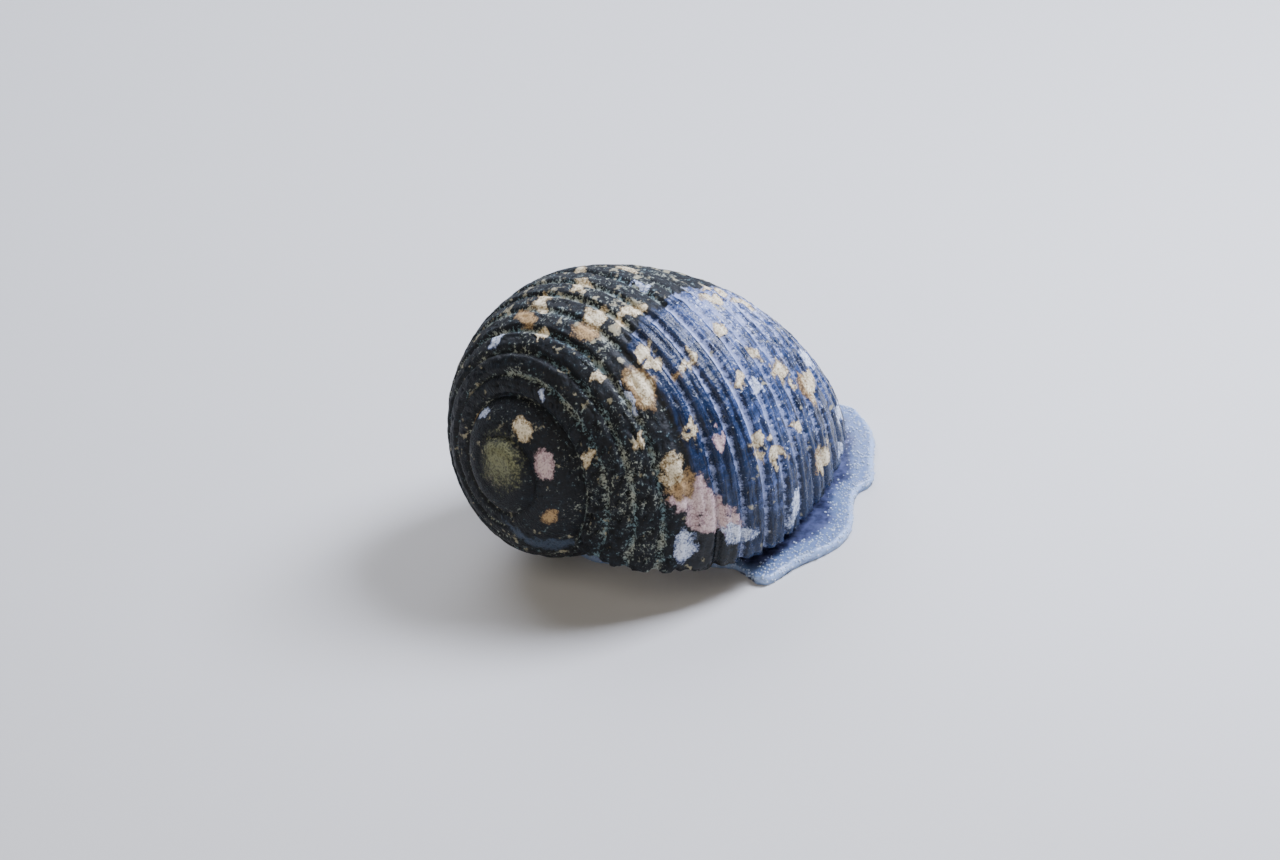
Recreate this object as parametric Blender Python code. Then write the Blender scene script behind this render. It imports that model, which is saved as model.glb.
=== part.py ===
"""A nerite snail at life size, crawling on a flat floor.

+X is the way the snail heads, +Y is its left side and +Z is up. The origin is the middle of the sole,
on the floor. The shell is a logarithmic coil: one lip curve, turned and shrunk about a slanted axis. The
soft body is placed from the sizes of the lip, and each piece keeps a small gap to what it meets.
"""

import math

import bmesh
import bpy
import numpy as np
from mathutils import Vector
from mathutils.bvhtree import BVHTree

# Everything below is worked out in millimetres, and each mesh is turned into metres when it is made.
MM = 0.001
GAP = 0.3

# The coil of the shell
GROWTH_PER_TURN = 2.077
AXIS_BEARING = 230.65
AXIS_RISE = 13.75
COIL_CENTRE = np.array([-8.84, -7.09, 7.14])
TURNS = 2.3
ROWS_PER_TURN = 42
RIM_HEIGHT = 1.6

# The lip, a half ellipse in the rim plane that climbs to the suture at its rear end
LIP_CENTRE = np.array([-0.86, -0.19, RIM_HEIGHT])
LIP_BEARING = 77.5
REAR_HALF_LENGTH = 11.92
FRONT_HALF_LENGTH = 8.5
LIP_DEPTH = 6.83
REAR_ROUNDNESS = 1.167
FRONT_ROUNDNESS = 0.838
CLIMB_SPAN = 1.109
FRONT_END = 0.75
BASE_COLUMNS = 7
BASE_REACH = 16.4
BASE_BEND = 0.45
SUTURE_PLACE = 2.407
SUTURE_ADVANCE = 0.331

# The spiral ribs, measured at the lip
RIB_SPACING = 1.3
RIB_HEIGHT = 0.2
RIB_TOP = (0.18, 0.82)
RIB_WEAR = (0.72, 0.4)

# The wall, the deck behind the aperture and the opening itself
WALL = 1.0
COVER_CENTRE = (1.5, -2.2, 2.7)
BELLY_RISE = 0.35
BELLY_EDGE = -1.5
HEART = np.array([-2.2, -1.2, 6.2])
CHAMBER_SPOKES = 36
CHAMBER_RINGS = 18
CHAMBER_SMOOTHINGS = 3
LEAST_FACING = 0.55
CALLUS_CENTRE = np.array([-2.0, -0.9, 3.6])
CALLUS_RADII = (6.0, 5.7, 1.85)
CALLUS_FADE = (0.66, 0.2)
CALLUS_FADE_COLUMNS = 6
DOOR_SPAN = (0.8, 2.3)
DOOR_BOW = 4.4
EDGE_INSETS = ((-1.2, 0.3), (0.0, 0.35), (0.7, 0.95))
DOOR_TOP = 2.6
DOOR_LEAST_HEIGHT = 0.05

# The foot
REAR_REACH = 7.65
FRONT_REACHES = {"left": 7.55, "right": 6.95}
FRONT_HALF_WIDTHS = {"left": 7.4, "right": 6.4}
REAR_HALF_WIDTH = 5.6
FRONT_SQUARENESS = 4.5
REAR_SQUARENESS = 2.2
NOTCH_BEARING = -3.5
NOTCH_SPAN = 5.0
FLAP_BEARING = -70.5
FLAP_REACH = 1.75
FLAP_SPREADS = {"ahead": 11.0, "behind": 4.0}
MARGIN_THICKNESS = 0.5
MARGIN_STEPS = 120
MARGIN_WAVES = ((0.09, 7, 0.6), (0.06, 13, 2.0))
SOLE_SHRINK = 0.985
SOLE_RINGS = ((1.0, 0.55), (0.975, 0.95), (0.9, 1.0), (0.78, 1.02), (0.6, 1.08), (0.35, 1.12))
SOLE_MIDDLE = 1.15
TAIL_CUT = -2.6
FOOT_DOME = 0.35
DOME_LENGTH = 4.0
NECK_CENTRE = (2.4, -2.2)
NECK_RADII = (1.3, 3.1)
NECK_TOP = 3.2
NECK_STEPS = 28
NECK_RINGS = ((0.25, 1.25), (0.9, 1.1), (1.6, 1.0), (2.4, 1.0), (NECK_TOP, 1.05))
MANTLE_FLOOR = 3.5

# The head and its feelers
HEAD_PLACE = 1.38
HEAD_BACK = 2.85
HEAD_HEIGHT = 2.5
HEAD_RADII = (1.7, 2.45, 1.5)
SNOUT_REACH = (1.0, 0.0, -0.95)
SNOUT_RADII = (0.95, 1.45, 0.68)
LIP_FOLD_RADII = (0.3, 0.34, 0.42)
LIP_FOLD_REACH = (0.78, 0.3, -0.12)
MOUTH_RADII = (0.5, 0.08, 0.5)
MOUTH_REACH = (1.0, 0.0, -0.15)
FEELER_BASE = 0.42
FEELER_TIP = 0.26
FEELER_WAY = (0.52, 0.78, -0.36)
FEELER_BEND = (0.45, 0.6)
FEELER_TIP_PLACES = {"left": 0.75, "right": 1.95}
FEELER_TIP_INSET = 0.6
FEELER_TIP_HEIGHT = 1.18
STALK_WAY = (0.25, 0.93, -0.32)
STALK_LENGTH = 0.65
STALK_RADIUS = 0.4
EYE_RADIUS = 0.27
EYE_CLEARANCE = 0.06

# The operculum, which the tail carries under the deck
OPERCULUM_SHRINK = 0.62
OPERCULUM_CENTRE = (-3.75, -0.7)
OPERCULUM_THICKNESS = 0.42
OPERCULUM_RINGS = ((0.93, 0.0), (1.0, 0.3), (0.97, 0.75), (0.7, 1.0), (0.35, 1.1))


def direction(bearing, rise):
    """Unit vector at a bearing from +X and a rise above the floor, in degrees."""
    flat = math.cos(math.radians(rise))
    angle = math.radians(bearing)
    return np.array([flat * math.cos(angle), flat * math.sin(angle), math.sin(math.radians(rise))])


def rotation(axis, angle):
    """Matrix that turns by an angle in radians about a unit axis."""
    x, y, z = axis
    cross = np.array([[0, -z, y], [z, 0, -x], [-y, x, 0]])
    along = np.outer(axis, axis)
    return np.eye(3) * math.cos(angle) + cross * math.sin(angle) + (1 - math.cos(angle)) * along


def smooth(value):
    """Eases from 0 to 1 as the value goes from 0 to 1."""
    value = np.clip(value, 0.0, 1.0)
    return value * value * (3 - 2 * value)


COIL_AXIS = direction(AXIS_BEARING, AXIS_RISE)
COIL_RATE = math.log(GROWTH_PER_TURN) / math.tau
SUTURE_ANGLE = math.tau - SUTURE_ADVANCE


def coil(points, angle):
    """Lip points turned back along the coil: an angle of 0 is the lip, and -tau is one turn back."""
    turned = (points - COIL_CENTRE) @ rotation(COIL_AXIS, -angle).T
    return COIL_CENTRE + math.exp(COIL_RATE * angle) * turned


def plain_lip(place):
    """The half ellipse of the lip in the rim plane. Place 0 is its front end and pi its rear end."""
    place = np.atleast_1d(place)
    front = place < math.pi / 2
    power = np.where(front, FRONT_ROUNDNESS, REAR_ROUNDNESS)
    reach = np.where(front, FRONT_HALF_LENGTH, -REAR_HALF_LENGTH)
    along = reach * np.abs(np.cos(place)) ** power
    out = LIP_DEPTH * np.abs(np.sin(place)) ** power
    bearing = math.radians(LIP_BEARING)
    length_way = np.array([math.cos(bearing), math.sin(bearing), 0.0])
    depth_way = np.array([math.sin(bearing), -math.cos(bearing), 0.0])
    return LIP_CENTRE + along[:, None] * length_way + out[:, None] * depth_way


def climb(place):
    """How far a place on the lip has moved from the rim plane towards the suture."""
    return smooth((place - (math.pi - CLIMB_SPAN)) / CLIMB_SPAN)


def suture_start():
    """The lip's rear end, which lies on the turn before, at that turn's own suture place."""
    shrink = math.exp(-COIL_RATE * SUTURE_ANGLE) * rotation(COIL_AXIS, SUTURE_ANGLE)
    share = float(climb(SUTURE_PLACE))
    plain = plain_lip(SUTURE_PLACE)[0] - COIL_CENTRE
    return COIL_CENTRE + np.linalg.solve(np.eye(3) - share * shrink, (1 - share) * (shrink @ plain))


SUTURE_START = suture_start()


def lip(place):
    """The lip curve, out to the suture."""
    place = np.atleast_1d(place)
    share = climb(place)[:, None]
    return plain_lip(place) * (1 - share) + SUTURE_START * share


def lip_outward(place):
    """Level unit vector that points out of the aperture at a place on the lip."""
    step = 0.01
    along = lip(np.asarray(place) + step) - lip(np.asarray(place) - step)
    out = np.stack([-along[:, 1], along[:, 0], np.zeros(len(along))], axis=1)
    return out / np.linalg.norm(out, axis=1, keepdims=True)


def surface_normal(place):
    """Outward normal of the shell at the lip, for the ribs to rise along."""
    step = 0.01
    place = np.clip(place, 2 * step, math.pi - 5 * step)
    across = lip(place + step) - lip(place - step)
    along = coil(lip(place), step) - coil(lip(place), -step)
    normal = np.cross(across, along)
    return normal / np.linalg.norm(normal, axis=1, keepdims=True)


def rib_columns():
    """Places of the mesh's columns on the lip, from the suture to the front end, with the lift of each."""
    places = np.linspace(math.pi, FRONT_END, 800)
    steps = np.linalg.norm(np.diff(lip(places), axis=0), axis=1)
    length = np.concatenate([[0.0], np.cumsum(steps)])
    at_suture = np.interp(math.pi - SUTURE_PLACE, math.pi - places, length)
    stops = []
    lifts = []
    suture_column = 0
    for start, end in ((0.0, at_suture), (at_suture, length[-1])):
        ribs = round((end - start) / RIB_SPACING)
        if start > 0:
            suture_column = len(stops)
        for rib in range(ribs):
            for share, lift in ((0.0, 0.0), (RIB_TOP[0], 1.0), (RIB_TOP[1], 1.0)):
                stops.append(start + (end - start) * (rib + share) / ribs)
                lifts.append(lift)
    stops.append(length[-1])
    lifts.append(0.0)
    return np.interp(stops, length, places), np.array(lifts), suture_column


def base_curve():
    """Points that close the shell's base, from the lip's front end round to the coil axis."""
    start = lip([FRONT_END])[0]
    along = lip([FRONT_END - 0.01])[0] - start
    start_way = along / np.linalg.norm(along)
    end = COIL_CENTRE - COIL_AXIS * BASE_REACH
    bend = start + start_way * BASE_BEND * np.linalg.norm(end - start)
    shares = np.linspace(0, 1, BASE_COLUMNS + 1)[1:, None]
    return (1 - shares) ** 2 * start + 2 * shares * (1 - shares) * bend + shares**2 * end


def add_fan(mesh, edges, centre):
    """Closes a ring of edges with triangles to one new point."""
    middle = mesh.verts.new(centre)
    for edge in edges:
        mesh.faces.new((edge.verts[0], edge.verts[1], middle))


def outer_shell():
    """The shell's outside as a closed mesh with the aperture covered, and a search tree of the open one."""
    places, lifts, suture = rib_columns()
    plain = lip(places)
    ridge = plain + (lifts * RIB_HEIGHT)[:, None] * surface_normal(places)
    ridge = np.vstack([ridge, base_curve()])
    plain = np.vstack([plain, base_curve()])
    inner = smooth((np.arange(len(ridge)) - suture) / CALLUS_FADE_COLUMNS)[:, None]
    step = SUTURE_ANGLE / ROWS_PER_TURN
    rows = round(TURNS * ROWS_PER_TURN)
    mesh = bmesh.new()
    grid = []
    for row in range(rows + 1):
        angle = -row * step
        count = len(ridge) if row <= ROWS_PER_TURN else suture + 1
        line = []
        callus = inner * smooth((row / ROWS_PER_TURN - CALLUS_FADE[0]) / CALLUS_FADE[1])
        worn = smooth((row / ROWS_PER_TURN - RIB_WEAR[0]) / RIB_WEAR[1])
        shape = ridge + (plain - ridge) * np.maximum(callus, worn)
        for column, point in enumerate(coil(shape[:count], angle)):
            if row >= ROWS_PER_TURN and column == suture:
                line.append(grid[row - ROWS_PER_TURN][0])
            else:
                line.append(mesh.verts.new(point))
        grid.append(line)
    for row in range(rows):
        last = len(ridge) - 1 if row < ROWS_PER_TURN else suture
        for column in range(last):
            corners = (
                grid[row][column],
                grid[row][column + 1],
                grid[row + 1][column + 1],
                grid[row + 1][column],
            )
            mesh.faces.new(corners)
    tip = set(grid[rows][: suture + 1])
    for row in range(rows - ROWS_PER_TURN, rows + 1):
        tip.add(grid[row][0])
    open_edges = [edge for edge in mesh.edges if edge.is_boundary]
    tip_edges = [edge for edge in open_edges if edge.verts[0] in tip and edge.verts[1] in tip]
    aperture_edges = [edge for edge in open_edges if edge not in tip_edges]
    add_fan(mesh, tip_edges, coil(lip([math.pi]), -rows * step)[0])
    walls = BVHTree.FromBMesh(mesh)
    add_fan(mesh, aperture_edges, COVER_CENTRE)
    loose = [vertex for vertex in mesh.verts if not vertex.link_faces]
    bmesh.ops.delete(mesh, geom=loose, context="VERTS")
    return finished(mesh), walls


def chamber(tree, wall):
    """Closed mesh of the space inside the shell, a wall's thickness in from its outside."""
    around, down = CHAMBER_SPOKES, CHAMBER_RINGS
    radii = np.zeros((down + 1, around))
    ways = np.zeros((down + 1, around, 3))
    for ring in range(down + 1):
        for spoke in range(around):
            rise = 90 - 180 * ring / down
            way = direction(360 * spoke / around, rise)
            ways[ring, spoke] = way
            _, normal, _, distance = tree.ray_cast(Vector(HEART), Vector(way))
            facing = max(abs(normal.dot(Vector(way))), LEAST_FACING)
            radii[ring, spoke] = distance - wall / facing
    for _ in range(CHAMBER_SMOOTHINGS):
        beside = (np.roll(radii, 1, axis=1) + np.roll(radii, -1, axis=1)) / 2
        radii = np.minimum(radii, (beside + radii) / 2)
        above_and_below = (radii[2:] + radii[:-2]) / 2
        radii[1:-1] = np.minimum(radii[1:-1], (above_and_below + radii[1:-1]) / 2)
    mesh = bmesh.new()
    top = mesh.verts.new(HEART + ways[0, 0] * radii[0].min())
    bottom = mesh.verts.new(HEART + ways[down, 0] * radii[down].min())
    rings = []
    for ring in range(1, down):
        points = HEART + ways[ring] * radii[ring][:, None]
        rings.append([mesh.verts.new(point) for point in points])
    join_rings(mesh, rings)
    cap_ring(mesh, rings[0], top)
    cap_ring(mesh, rings[-1], bottom)
    return finished(mesh)


def join_rings(mesh, rings):
    """Quads between each ring of vertices and the next."""
    count = len(rings[0])
    for upper, lower in zip(rings, rings[1:]):
        for index in range(count):
            after = (index + 1) % count
            mesh.faces.new((upper[index], upper[after], lower[after], lower[index]))


def cap_ring(mesh, ring, vertex):
    """Triangles from a ring to one vertex."""
    for index, start in enumerate(ring):
        mesh.faces.new((start, ring[(index + 1) % len(ring)], vertex))


def finished(mesh):
    """The mesh in triangles with its faces pointing out."""
    bmesh.ops.triangulate(mesh, faces=mesh.faces[:])
    bmesh.ops.recalc_face_normals(mesh, faces=mesh.faces[:])
    return mesh


def door_outline(inset):
    """Level outline of the aperture: the lip moved in by the inset, and the bowed edge of the deck."""
    places = np.linspace(DOOR_SPAN[0], DOOR_SPAN[1], 30)
    outer = lip(places)[:, :2] - inset * lip_outward(places)[:, :2]
    start, end = outer[-1], outer[0]
    inward = -lip_outward([math.pi / 2])[0][:2]
    shares = np.linspace(0, 1, 16)[1:-1]
    inner = [start + (end - start) * s + inward * DOOR_BOW * 4 * s * (1 - s) for s in shares]
    return np.vstack([outer, inner])


def door(walls, top):
    """Closed mesh that fills the aperture, from below the rim up into the chamber."""
    mesh = bmesh.new()
    rings = []
    for height, inset in EDGE_INSETS:
        outline = door_outline(inset)
        rings.append([mesh.verts.new((x, y, RIM_HEIGHT + height)) for x, y in outline])
    base = RIM_HEIGHT + EDGE_INSETS[-1][0]
    outline = door_outline(EDGE_INSETS[-1][1] + 0.1)
    upper = []
    for x, y in outline:
        hit, _, _, distance = walls.ray_cast(Vector((x, y, base)), Vector((0, 0, 1)))
        roof = base + distance - WALL if hit else top
        upper.append(mesh.verts.new((x, y, max(min(top, roof), base + DOOR_LEAST_HEIGHT))))
    rings.append(upper)
    join_rings(mesh, rings)
    middle = outline.mean(axis=0)
    cap_ring(mesh, rings[0], mesh.verts.new((middle[0], middle[1], rings[0][0].co.z)))
    cap_ring(mesh, rings[-1], mesh.verts.new((middle[0], middle[1], top)))
    return finished(mesh)


def make_object(name, mesh, material, smooth_angle=40):
    """An object from a mesh in millimetres, in metres and shaded smooth."""
    for vertex in mesh.verts:
        vertex.co *= MM
    data = bpy.data.meshes.new(name)
    mesh.to_mesh(data)
    mesh.free()
    data.materials.append(material)
    data.shade_smooth()
    data.set_sharp_from_angle(angle=math.radians(smooth_angle))
    thing = bpy.data.objects.new(name, data)
    bpy.context.scene.collection.objects.link(thing)
    return thing


def combine(target, cutters, operation, solver="EXACT"):
    """Applies one Boolean of the cutters to the target, removes them and keeps the largest closed surface."""
    group = bpy.data.collections.new("cutters")
    bpy.context.scene.collection.children.link(group)
    for cutter in cutters:
        bpy.context.scene.collection.objects.unlink(cutter)
        group.objects.link(cutter)
    modifier = target.modifiers.new("join", "BOOLEAN")
    modifier.operation = operation
    modifier.operand_type = "COLLECTION"
    modifier.collection = group
    modifier.solver = solver
    bpy.context.view_layer.update()
    graph = bpy.context.evaluated_depsgraph_get()
    result = bpy.data.meshes.new_from_object(target.evaluated_get(graph))
    target.modifiers.remove(modifier)
    target.data = result
    for cutter in cutters:
        bpy.data.objects.remove(cutter)
    bpy.data.collections.remove(group)
    keep_largest(target)


def keep_largest(thing):
    """Deletes every closed surface of the mesh but the one with the most faces."""
    mesh = bmesh.new()
    mesh.from_mesh(thing.data)
    mesh.faces.ensure_lookup_table()
    left = set(mesh.faces)
    groups = []
    while left:
        stack = [left.pop()]
        group = set(stack)
        while stack:
            face = stack.pop()
            for edge in face.edges:
                for near in edge.link_faces:
                    if near in left:
                        left.discard(near)
                        group.add(near)
                        stack.append(near)
        groups.append(group)
    largest = max(groups, key=len)
    extra = [face for face in mesh.faces if face not in largest]
    bmesh.ops.delete(mesh, geom=extra, context="FACES")
    loose = [vertex for vertex in mesh.verts if not vertex.link_faces]
    bmesh.ops.delete(mesh, geom=loose, context="VERTS")
    bmesh.ops.triangulate(mesh, faces=mesh.faces[:])
    mesh.to_mesh(thing.data)
    mesh.free()


def material(name, colour, roughness, metallic=0.0):
    """A Principled material with one colour."""
    made = bpy.data.materials.new(name)
    made.use_nodes = True
    shader = made.node_tree.nodes["Principled BSDF"]
    shader.inputs["Base Color"].default_value = (*colour, 1.0)
    shader.inputs["Roughness"].default_value = roughness
    shader.inputs["Metallic"].default_value = metallic
    made.diffuse_color = (*colour, 1.0)
    return made


def ellipsoid(centre, radii, around=20, down=12, bearing=0.0):
    """Closed mesh of an ellipsoid, turned about the vertical."""
    mesh = bmesh.new()
    bmesh.ops.create_uvsphere(mesh, u_segments=around, v_segments=down, radius=1.0)
    angle = math.radians(bearing)
    for vertex in mesh.verts:
        x, y, z = (value * radius for value, radius in zip(vertex.co, radii))
        vertex.co = (
            centre[0] + x * math.cos(angle) - y * math.sin(angle),
            centre[1] + x * math.sin(angle) + y * math.cos(angle),
            centre[2] + z,
        )
    return finished(mesh)


def tube(path, radii, sides=10):
    """Closed tapered tube along a path, with rounded ends."""
    path = [Vector(point) for point in path]
    mesh = bmesh.new()
    rings = []
    for index, point in enumerate(path):
        before = path[max(index - 1, 0)]
        after = path[min(index + 1, len(path) - 1)]
        along = (after - before).normalized()
        side = along.cross(Vector((0, 0, 1))).normalized()
        up = side.cross(along)
        ring = []
        for step in range(sides):
            angle = math.tau * step / sides
            offset = side * math.cos(angle) + up * math.sin(angle)
            ring.append(mesh.verts.new(point + offset * radii[index]))
        rings.append(ring)
    join_rings(mesh, rings)
    start_way = (path[0] - path[1]).normalized()
    end_way = (path[-1] - path[-2]).normalized()
    cap_ring(mesh, rings[0], mesh.verts.new(path[0] + start_way * radii[0] * 0.3))
    cap_ring(mesh, rings[-1], mesh.verts.new(path[-1] + end_way * radii[-1] * 0.8))
    return finished(mesh)


def foot_reach(angle):
    """Distance from the middle of the sole to its waved margin, which has a flap on its right."""
    turn = math.degrees(math.atan2(math.sin(angle), math.cos(angle)))
    side = "left" if turn > 0 else "right"
    front = float(smooth((math.cos(angle) + 0.05) / 0.4))
    power = REAR_SQUARENESS + (FRONT_SQUARENESS - REAR_SQUARENESS) * front
    half_width = REAR_HALF_WIDTH + (FRONT_HALF_WIDTHS[side] - REAR_HALF_WIDTH) * front
    left_share = float(smooth((turn - NOTCH_BEARING) / NOTCH_SPAN + 0.5))
    half_length = FRONT_REACHES["right"] + (FRONT_REACHES["left"] - FRONT_REACHES["right"]) * left_share
    if math.cos(angle) < 0:
        half_length = REAR_REACH
    ahead = abs(math.cos(angle)) / half_length
    aside = abs(math.sin(angle)) / half_width
    plain = (ahead**power + aside**power) ** (-1 / power)
    spread = FLAP_SPREADS["ahead"] if turn > FLAP_BEARING else FLAP_SPREADS["behind"]
    flap = FLAP_REACH * math.exp(-(((turn - FLAP_BEARING) / spread) ** 2))
    wave = sum(height * math.sin(count * angle + phase) for height, count, phase in MARGIN_WAVES)
    return plain + flap + wave


def foot_mesh():
    """The sole: flat below, thin at its margin and thicker in the middle."""
    mesh = bmesh.new()
    angles = [math.tau * step / MARGIN_STEPS for step in range(MARGIN_STEPS)]
    bottom = []
    for angle in angles:
        reach = foot_reach(angle) * SOLE_SHRINK
        bottom.append(mesh.verts.new((reach * math.cos(angle), reach * math.sin(angle), 0.0)))
    rings = [bottom]
    for share, height in SOLE_RINGS:
        ring = []
        for angle in angles:
            reach = foot_reach(angle) * share
            x, y = reach * math.cos(angle), reach * math.sin(angle)
            dome = FOOT_DOME * (1 - share**2) * float(smooth((x - TAIL_CUT) / DOME_LENGTH))
            ring.append(mesh.verts.new((x, y, MARGIN_THICKNESS * height + dome)))
        rings.append(ring)
    join_rings(mesh, rings)
    cap_ring(mesh, rings[0], mesh.verts.new((0, 0, 0)))
    dome = FOOT_DOME * float(smooth(-TAIL_CUT / DOME_LENGTH))
    cap_ring(mesh, rings[-1], mesh.verts.new((0, 0, MARGIN_THICKNESS * SOLE_MIDDLE + dome)))
    return finished(mesh)


def block(low, high):
    """Closed box between two corners."""
    mesh = bmesh.new()
    bmesh.ops.create_cube(mesh, size=1.0)
    low, high = Vector(low), Vector(high)
    for vertex in mesh.verts:
        vertex.co = Vector(
            (low[axis] + (high[axis] - low[axis]) * (vertex.co[axis] + 0.5)) for axis in range(3)
        )
    return finished(mesh)


def clear_scene():
    """Removes every object."""
    for thing in list(bpy.data.objects):
        bpy.data.objects.remove(thing)


def mirrored(way, side):
    """A way given for the left side, for either side."""
    return np.array([way[0], way[1] if side == "left" else -way[1], way[2]])


def head_centre():
    """Middle of the head, a set distance behind the lip."""
    middle = lip([HEAD_PLACE])[0] - lip_outward([HEAD_PLACE])[0] * HEAD_BACK
    middle[2] = HEAD_HEIGHT
    return middle


def on_head(way, beyond):
    """Point a set distance outside the head along a way from its middle."""
    way = way / np.linalg.norm(way)
    reach = 1 / np.linalg.norm(way / np.array(HEAD_RADII))
    return head_centre() + way * (reach + beyond)


def feeler_path(side):
    """Centre line of a feeler, from the side of the head to its tip beneath the lip."""
    way = mirrored(FEELER_WAY, side)
    start = on_head(way, GAP + FEELER_BASE * 0.5)
    place = FEELER_TIP_PLACES[side]
    tip = lip([place])[0] - lip_outward([place])[0] * FEELER_TIP_INSET
    tip[2] = FEELER_TIP_HEIGHT
    bend = start + mirrored((*FEELER_BEND, 0.0), side)
    bend[2] = FEELER_TIP_HEIGHT
    shares = np.linspace(0, 1, 12)[:, None]
    return (1 - shares) ** 2 * start + 2 * shares * (1 - shares) * bend + shares**2 * tip


def feeler(side):
    """Closed mesh of a slender feeler."""
    path = feeler_path(side)
    return tube(path, np.linspace(FEELER_BASE, FEELER_TIP, len(path)), sides=12)


def stalk(side, extra=0.0):
    """Closed mesh of the short stalk that bears an eye."""
    way = mirrored(STALK_WAY, side)
    start = on_head(way, GAP)
    along = way / np.linalg.norm(way)
    path = [start + along * STALK_LENGTH * share for share in np.linspace(0, 1, 6)]
    swell = 1.0 - 0.14 * np.sin(np.linspace(0, math.pi, 6))
    return tube(path, swell * STALK_RADIUS + extra, sides=14)


def eye_centre(side):
    """Middle of an eye, in the cup at the end of its stalk."""
    way = mirrored(STALK_WAY, side)
    return on_head(way, GAP + STALK_LENGTH + STALK_RADIUS * 0.8)


def build_shell():
    """The shell: ribbed outside, smooth deck below, chamber and aperture."""
    finish = material("shell_black", (0.02, 0.025, 0.04), 0.35)
    mesh, walls = outer_shell()
    shell = make_object("shell", mesh, finish)
    below = block((-20, -20, -12), (BELLY_EDGE, 20, RIM_HEIGHT + BELLY_RISE))
    combine(shell, [make_object("belly_cutter", below, finish)], "DIFFERENCE")
    callus = make_object("callus", ellipsoid(CALLUS_CENTRE, CALLUS_RADII, 32, 16), finish)
    combine(shell, [callus], "UNION")
    outside = bmesh.new()
    outside.from_mesh(shell.data)
    for vertex in outside.verts:
        vertex.co /= MM
    tree = BVHTree.FromBMesh(outside)
    outside.free()
    inside = make_object("chamber_cutter", chamber(tree, WALL), finish)
    opening = make_object("door_cutter", door(walls, RIM_HEIGHT + DOOR_TOP), finish)
    combine(shell, [inside, opening], "DIFFERENCE")
    return tree


def head_rooms(finish):
    """Cutters a gap larger than the head, its snout and the eyes on their stalks."""
    middle = head_centre()
    rooms = [ellipsoid(middle, [radius + GAP for radius in HEAD_RADII])]
    rooms.append(ellipsoid(middle + SNOUT_REACH, [radius + GAP for radius in SNOUT_RADII]))
    for side in ("left", "right"):
        rooms.append(stalk(side, GAP))
        rooms.append(ellipsoid(eye_centre(side), [EYE_RADIUS + GAP] * 3, 14, 8))
    return [make_object("room", room, finish) for room in rooms]


def neck_mesh():
    """The neck, an oval column behind the head that flares towards the foot and the mantle."""
    mesh = bmesh.new()
    rings = []
    for level, flare in NECK_RINGS:
        ring = []
        for step in range(NECK_STEPS):
            angle = math.tau * step / NECK_STEPS
            x = NECK_CENTRE[0] + NECK_RADII[0] * flare * math.cos(angle)
            y = NECK_CENTRE[1] + NECK_RADII[1] * flare * math.sin(angle)
            ring.append(mesh.verts.new((x, y, level)))
        rings.append(ring)
    join_rings(mesh, rings)
    cap_ring(mesh, rings[0], mesh.verts.new((*NECK_CENTRE, NECK_RINGS[0][0])))
    cap_ring(mesh, rings[-1], mesh.verts.new((*NECK_CENTRE, NECK_TOP)))
    return finished(mesh)


def build_foot(flesh):
    """The foot with the neck that rises through the aperture, and the tail behind it."""
    foot = make_object("foot", foot_mesh(), flesh)
    combine(foot, [make_object("neck_part", neck_mesh(), flesh)], "UNION")
    combine(foot, head_rooms(flesh), "DIFFERENCE")
    tail = make_object("tail", foot_mesh(), flesh)
    front = block((TAIL_CUT - GAP / 2, -20, -5), (20, 20, 20))
    combine(tail, [make_object("front_cutter", front, flesh)], "DIFFERENCE")
    back = block((-20, -20, -5), (TAIL_CUT + GAP / 2, 20, 20))
    combine(foot, [make_object("back_cutter", back, flesh)], "DIFFERENCE")


def build_head(flesh):
    """The head with its snout, mouth and lip folds, and the feelers and eyes beside it."""
    middle = head_centre()
    head = make_object("head", ellipsoid(middle, HEAD_RADII, 26, 16), flesh)
    snout_at = middle + SNOUT_REACH
    parts = [make_object("snout_part", ellipsoid(snout_at, SNOUT_RADII, 24, 14), flesh)]
    for side in ("left", "right"):
        fold_at = snout_at + mirrored(LIP_FOLD_REACH, side)
        parts.append(make_object("lip_part", ellipsoid(fold_at, LIP_FOLD_RADII, 16, 10), flesh))
    for part in parts:
        combine(head, [part], "UNION")
    slit = make_object("mouth_cutter", ellipsoid(snout_at + MOUTH_REACH, MOUTH_RADII, 16, 10), flesh)
    combine(head, [slit], "DIFFERENCE")
    iris = material("eye_black", (0.01, 0.01, 0.012), 0.12)
    for side in ("left", "right"):
        make_object("tentacle_" + side, feeler(side), flesh)
        stand = make_object("eyestalk_" + side, stalk(side), flesh)
        cup_radii = [EYE_RADIUS + EYE_CLEARANCE] * 3
        cup = make_object("cup_cutter", ellipsoid(eye_centre(side), cup_radii, 18, 12), flesh)
        combine(stand, [cup], "DIFFERENCE")
        make_object("eye_" + side, ellipsoid(eye_centre(side), [EYE_RADIUS] * 3, 18, 12), iris)


def build_mantle(tree, flesh):
    """The soft body that fills the shell above the neck and the head."""
    mantle = make_object("mantle", chamber(tree, WALL + GAP), flesh)
    low = block((-20, -20, -2), (20, 20, MANTLE_FLOOR))
    combine(mantle, [make_object("low_cutter", low, flesh)], "DIFFERENCE")
    combine(mantle, head_rooms(flesh), "DIFFERENCE")


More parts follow.
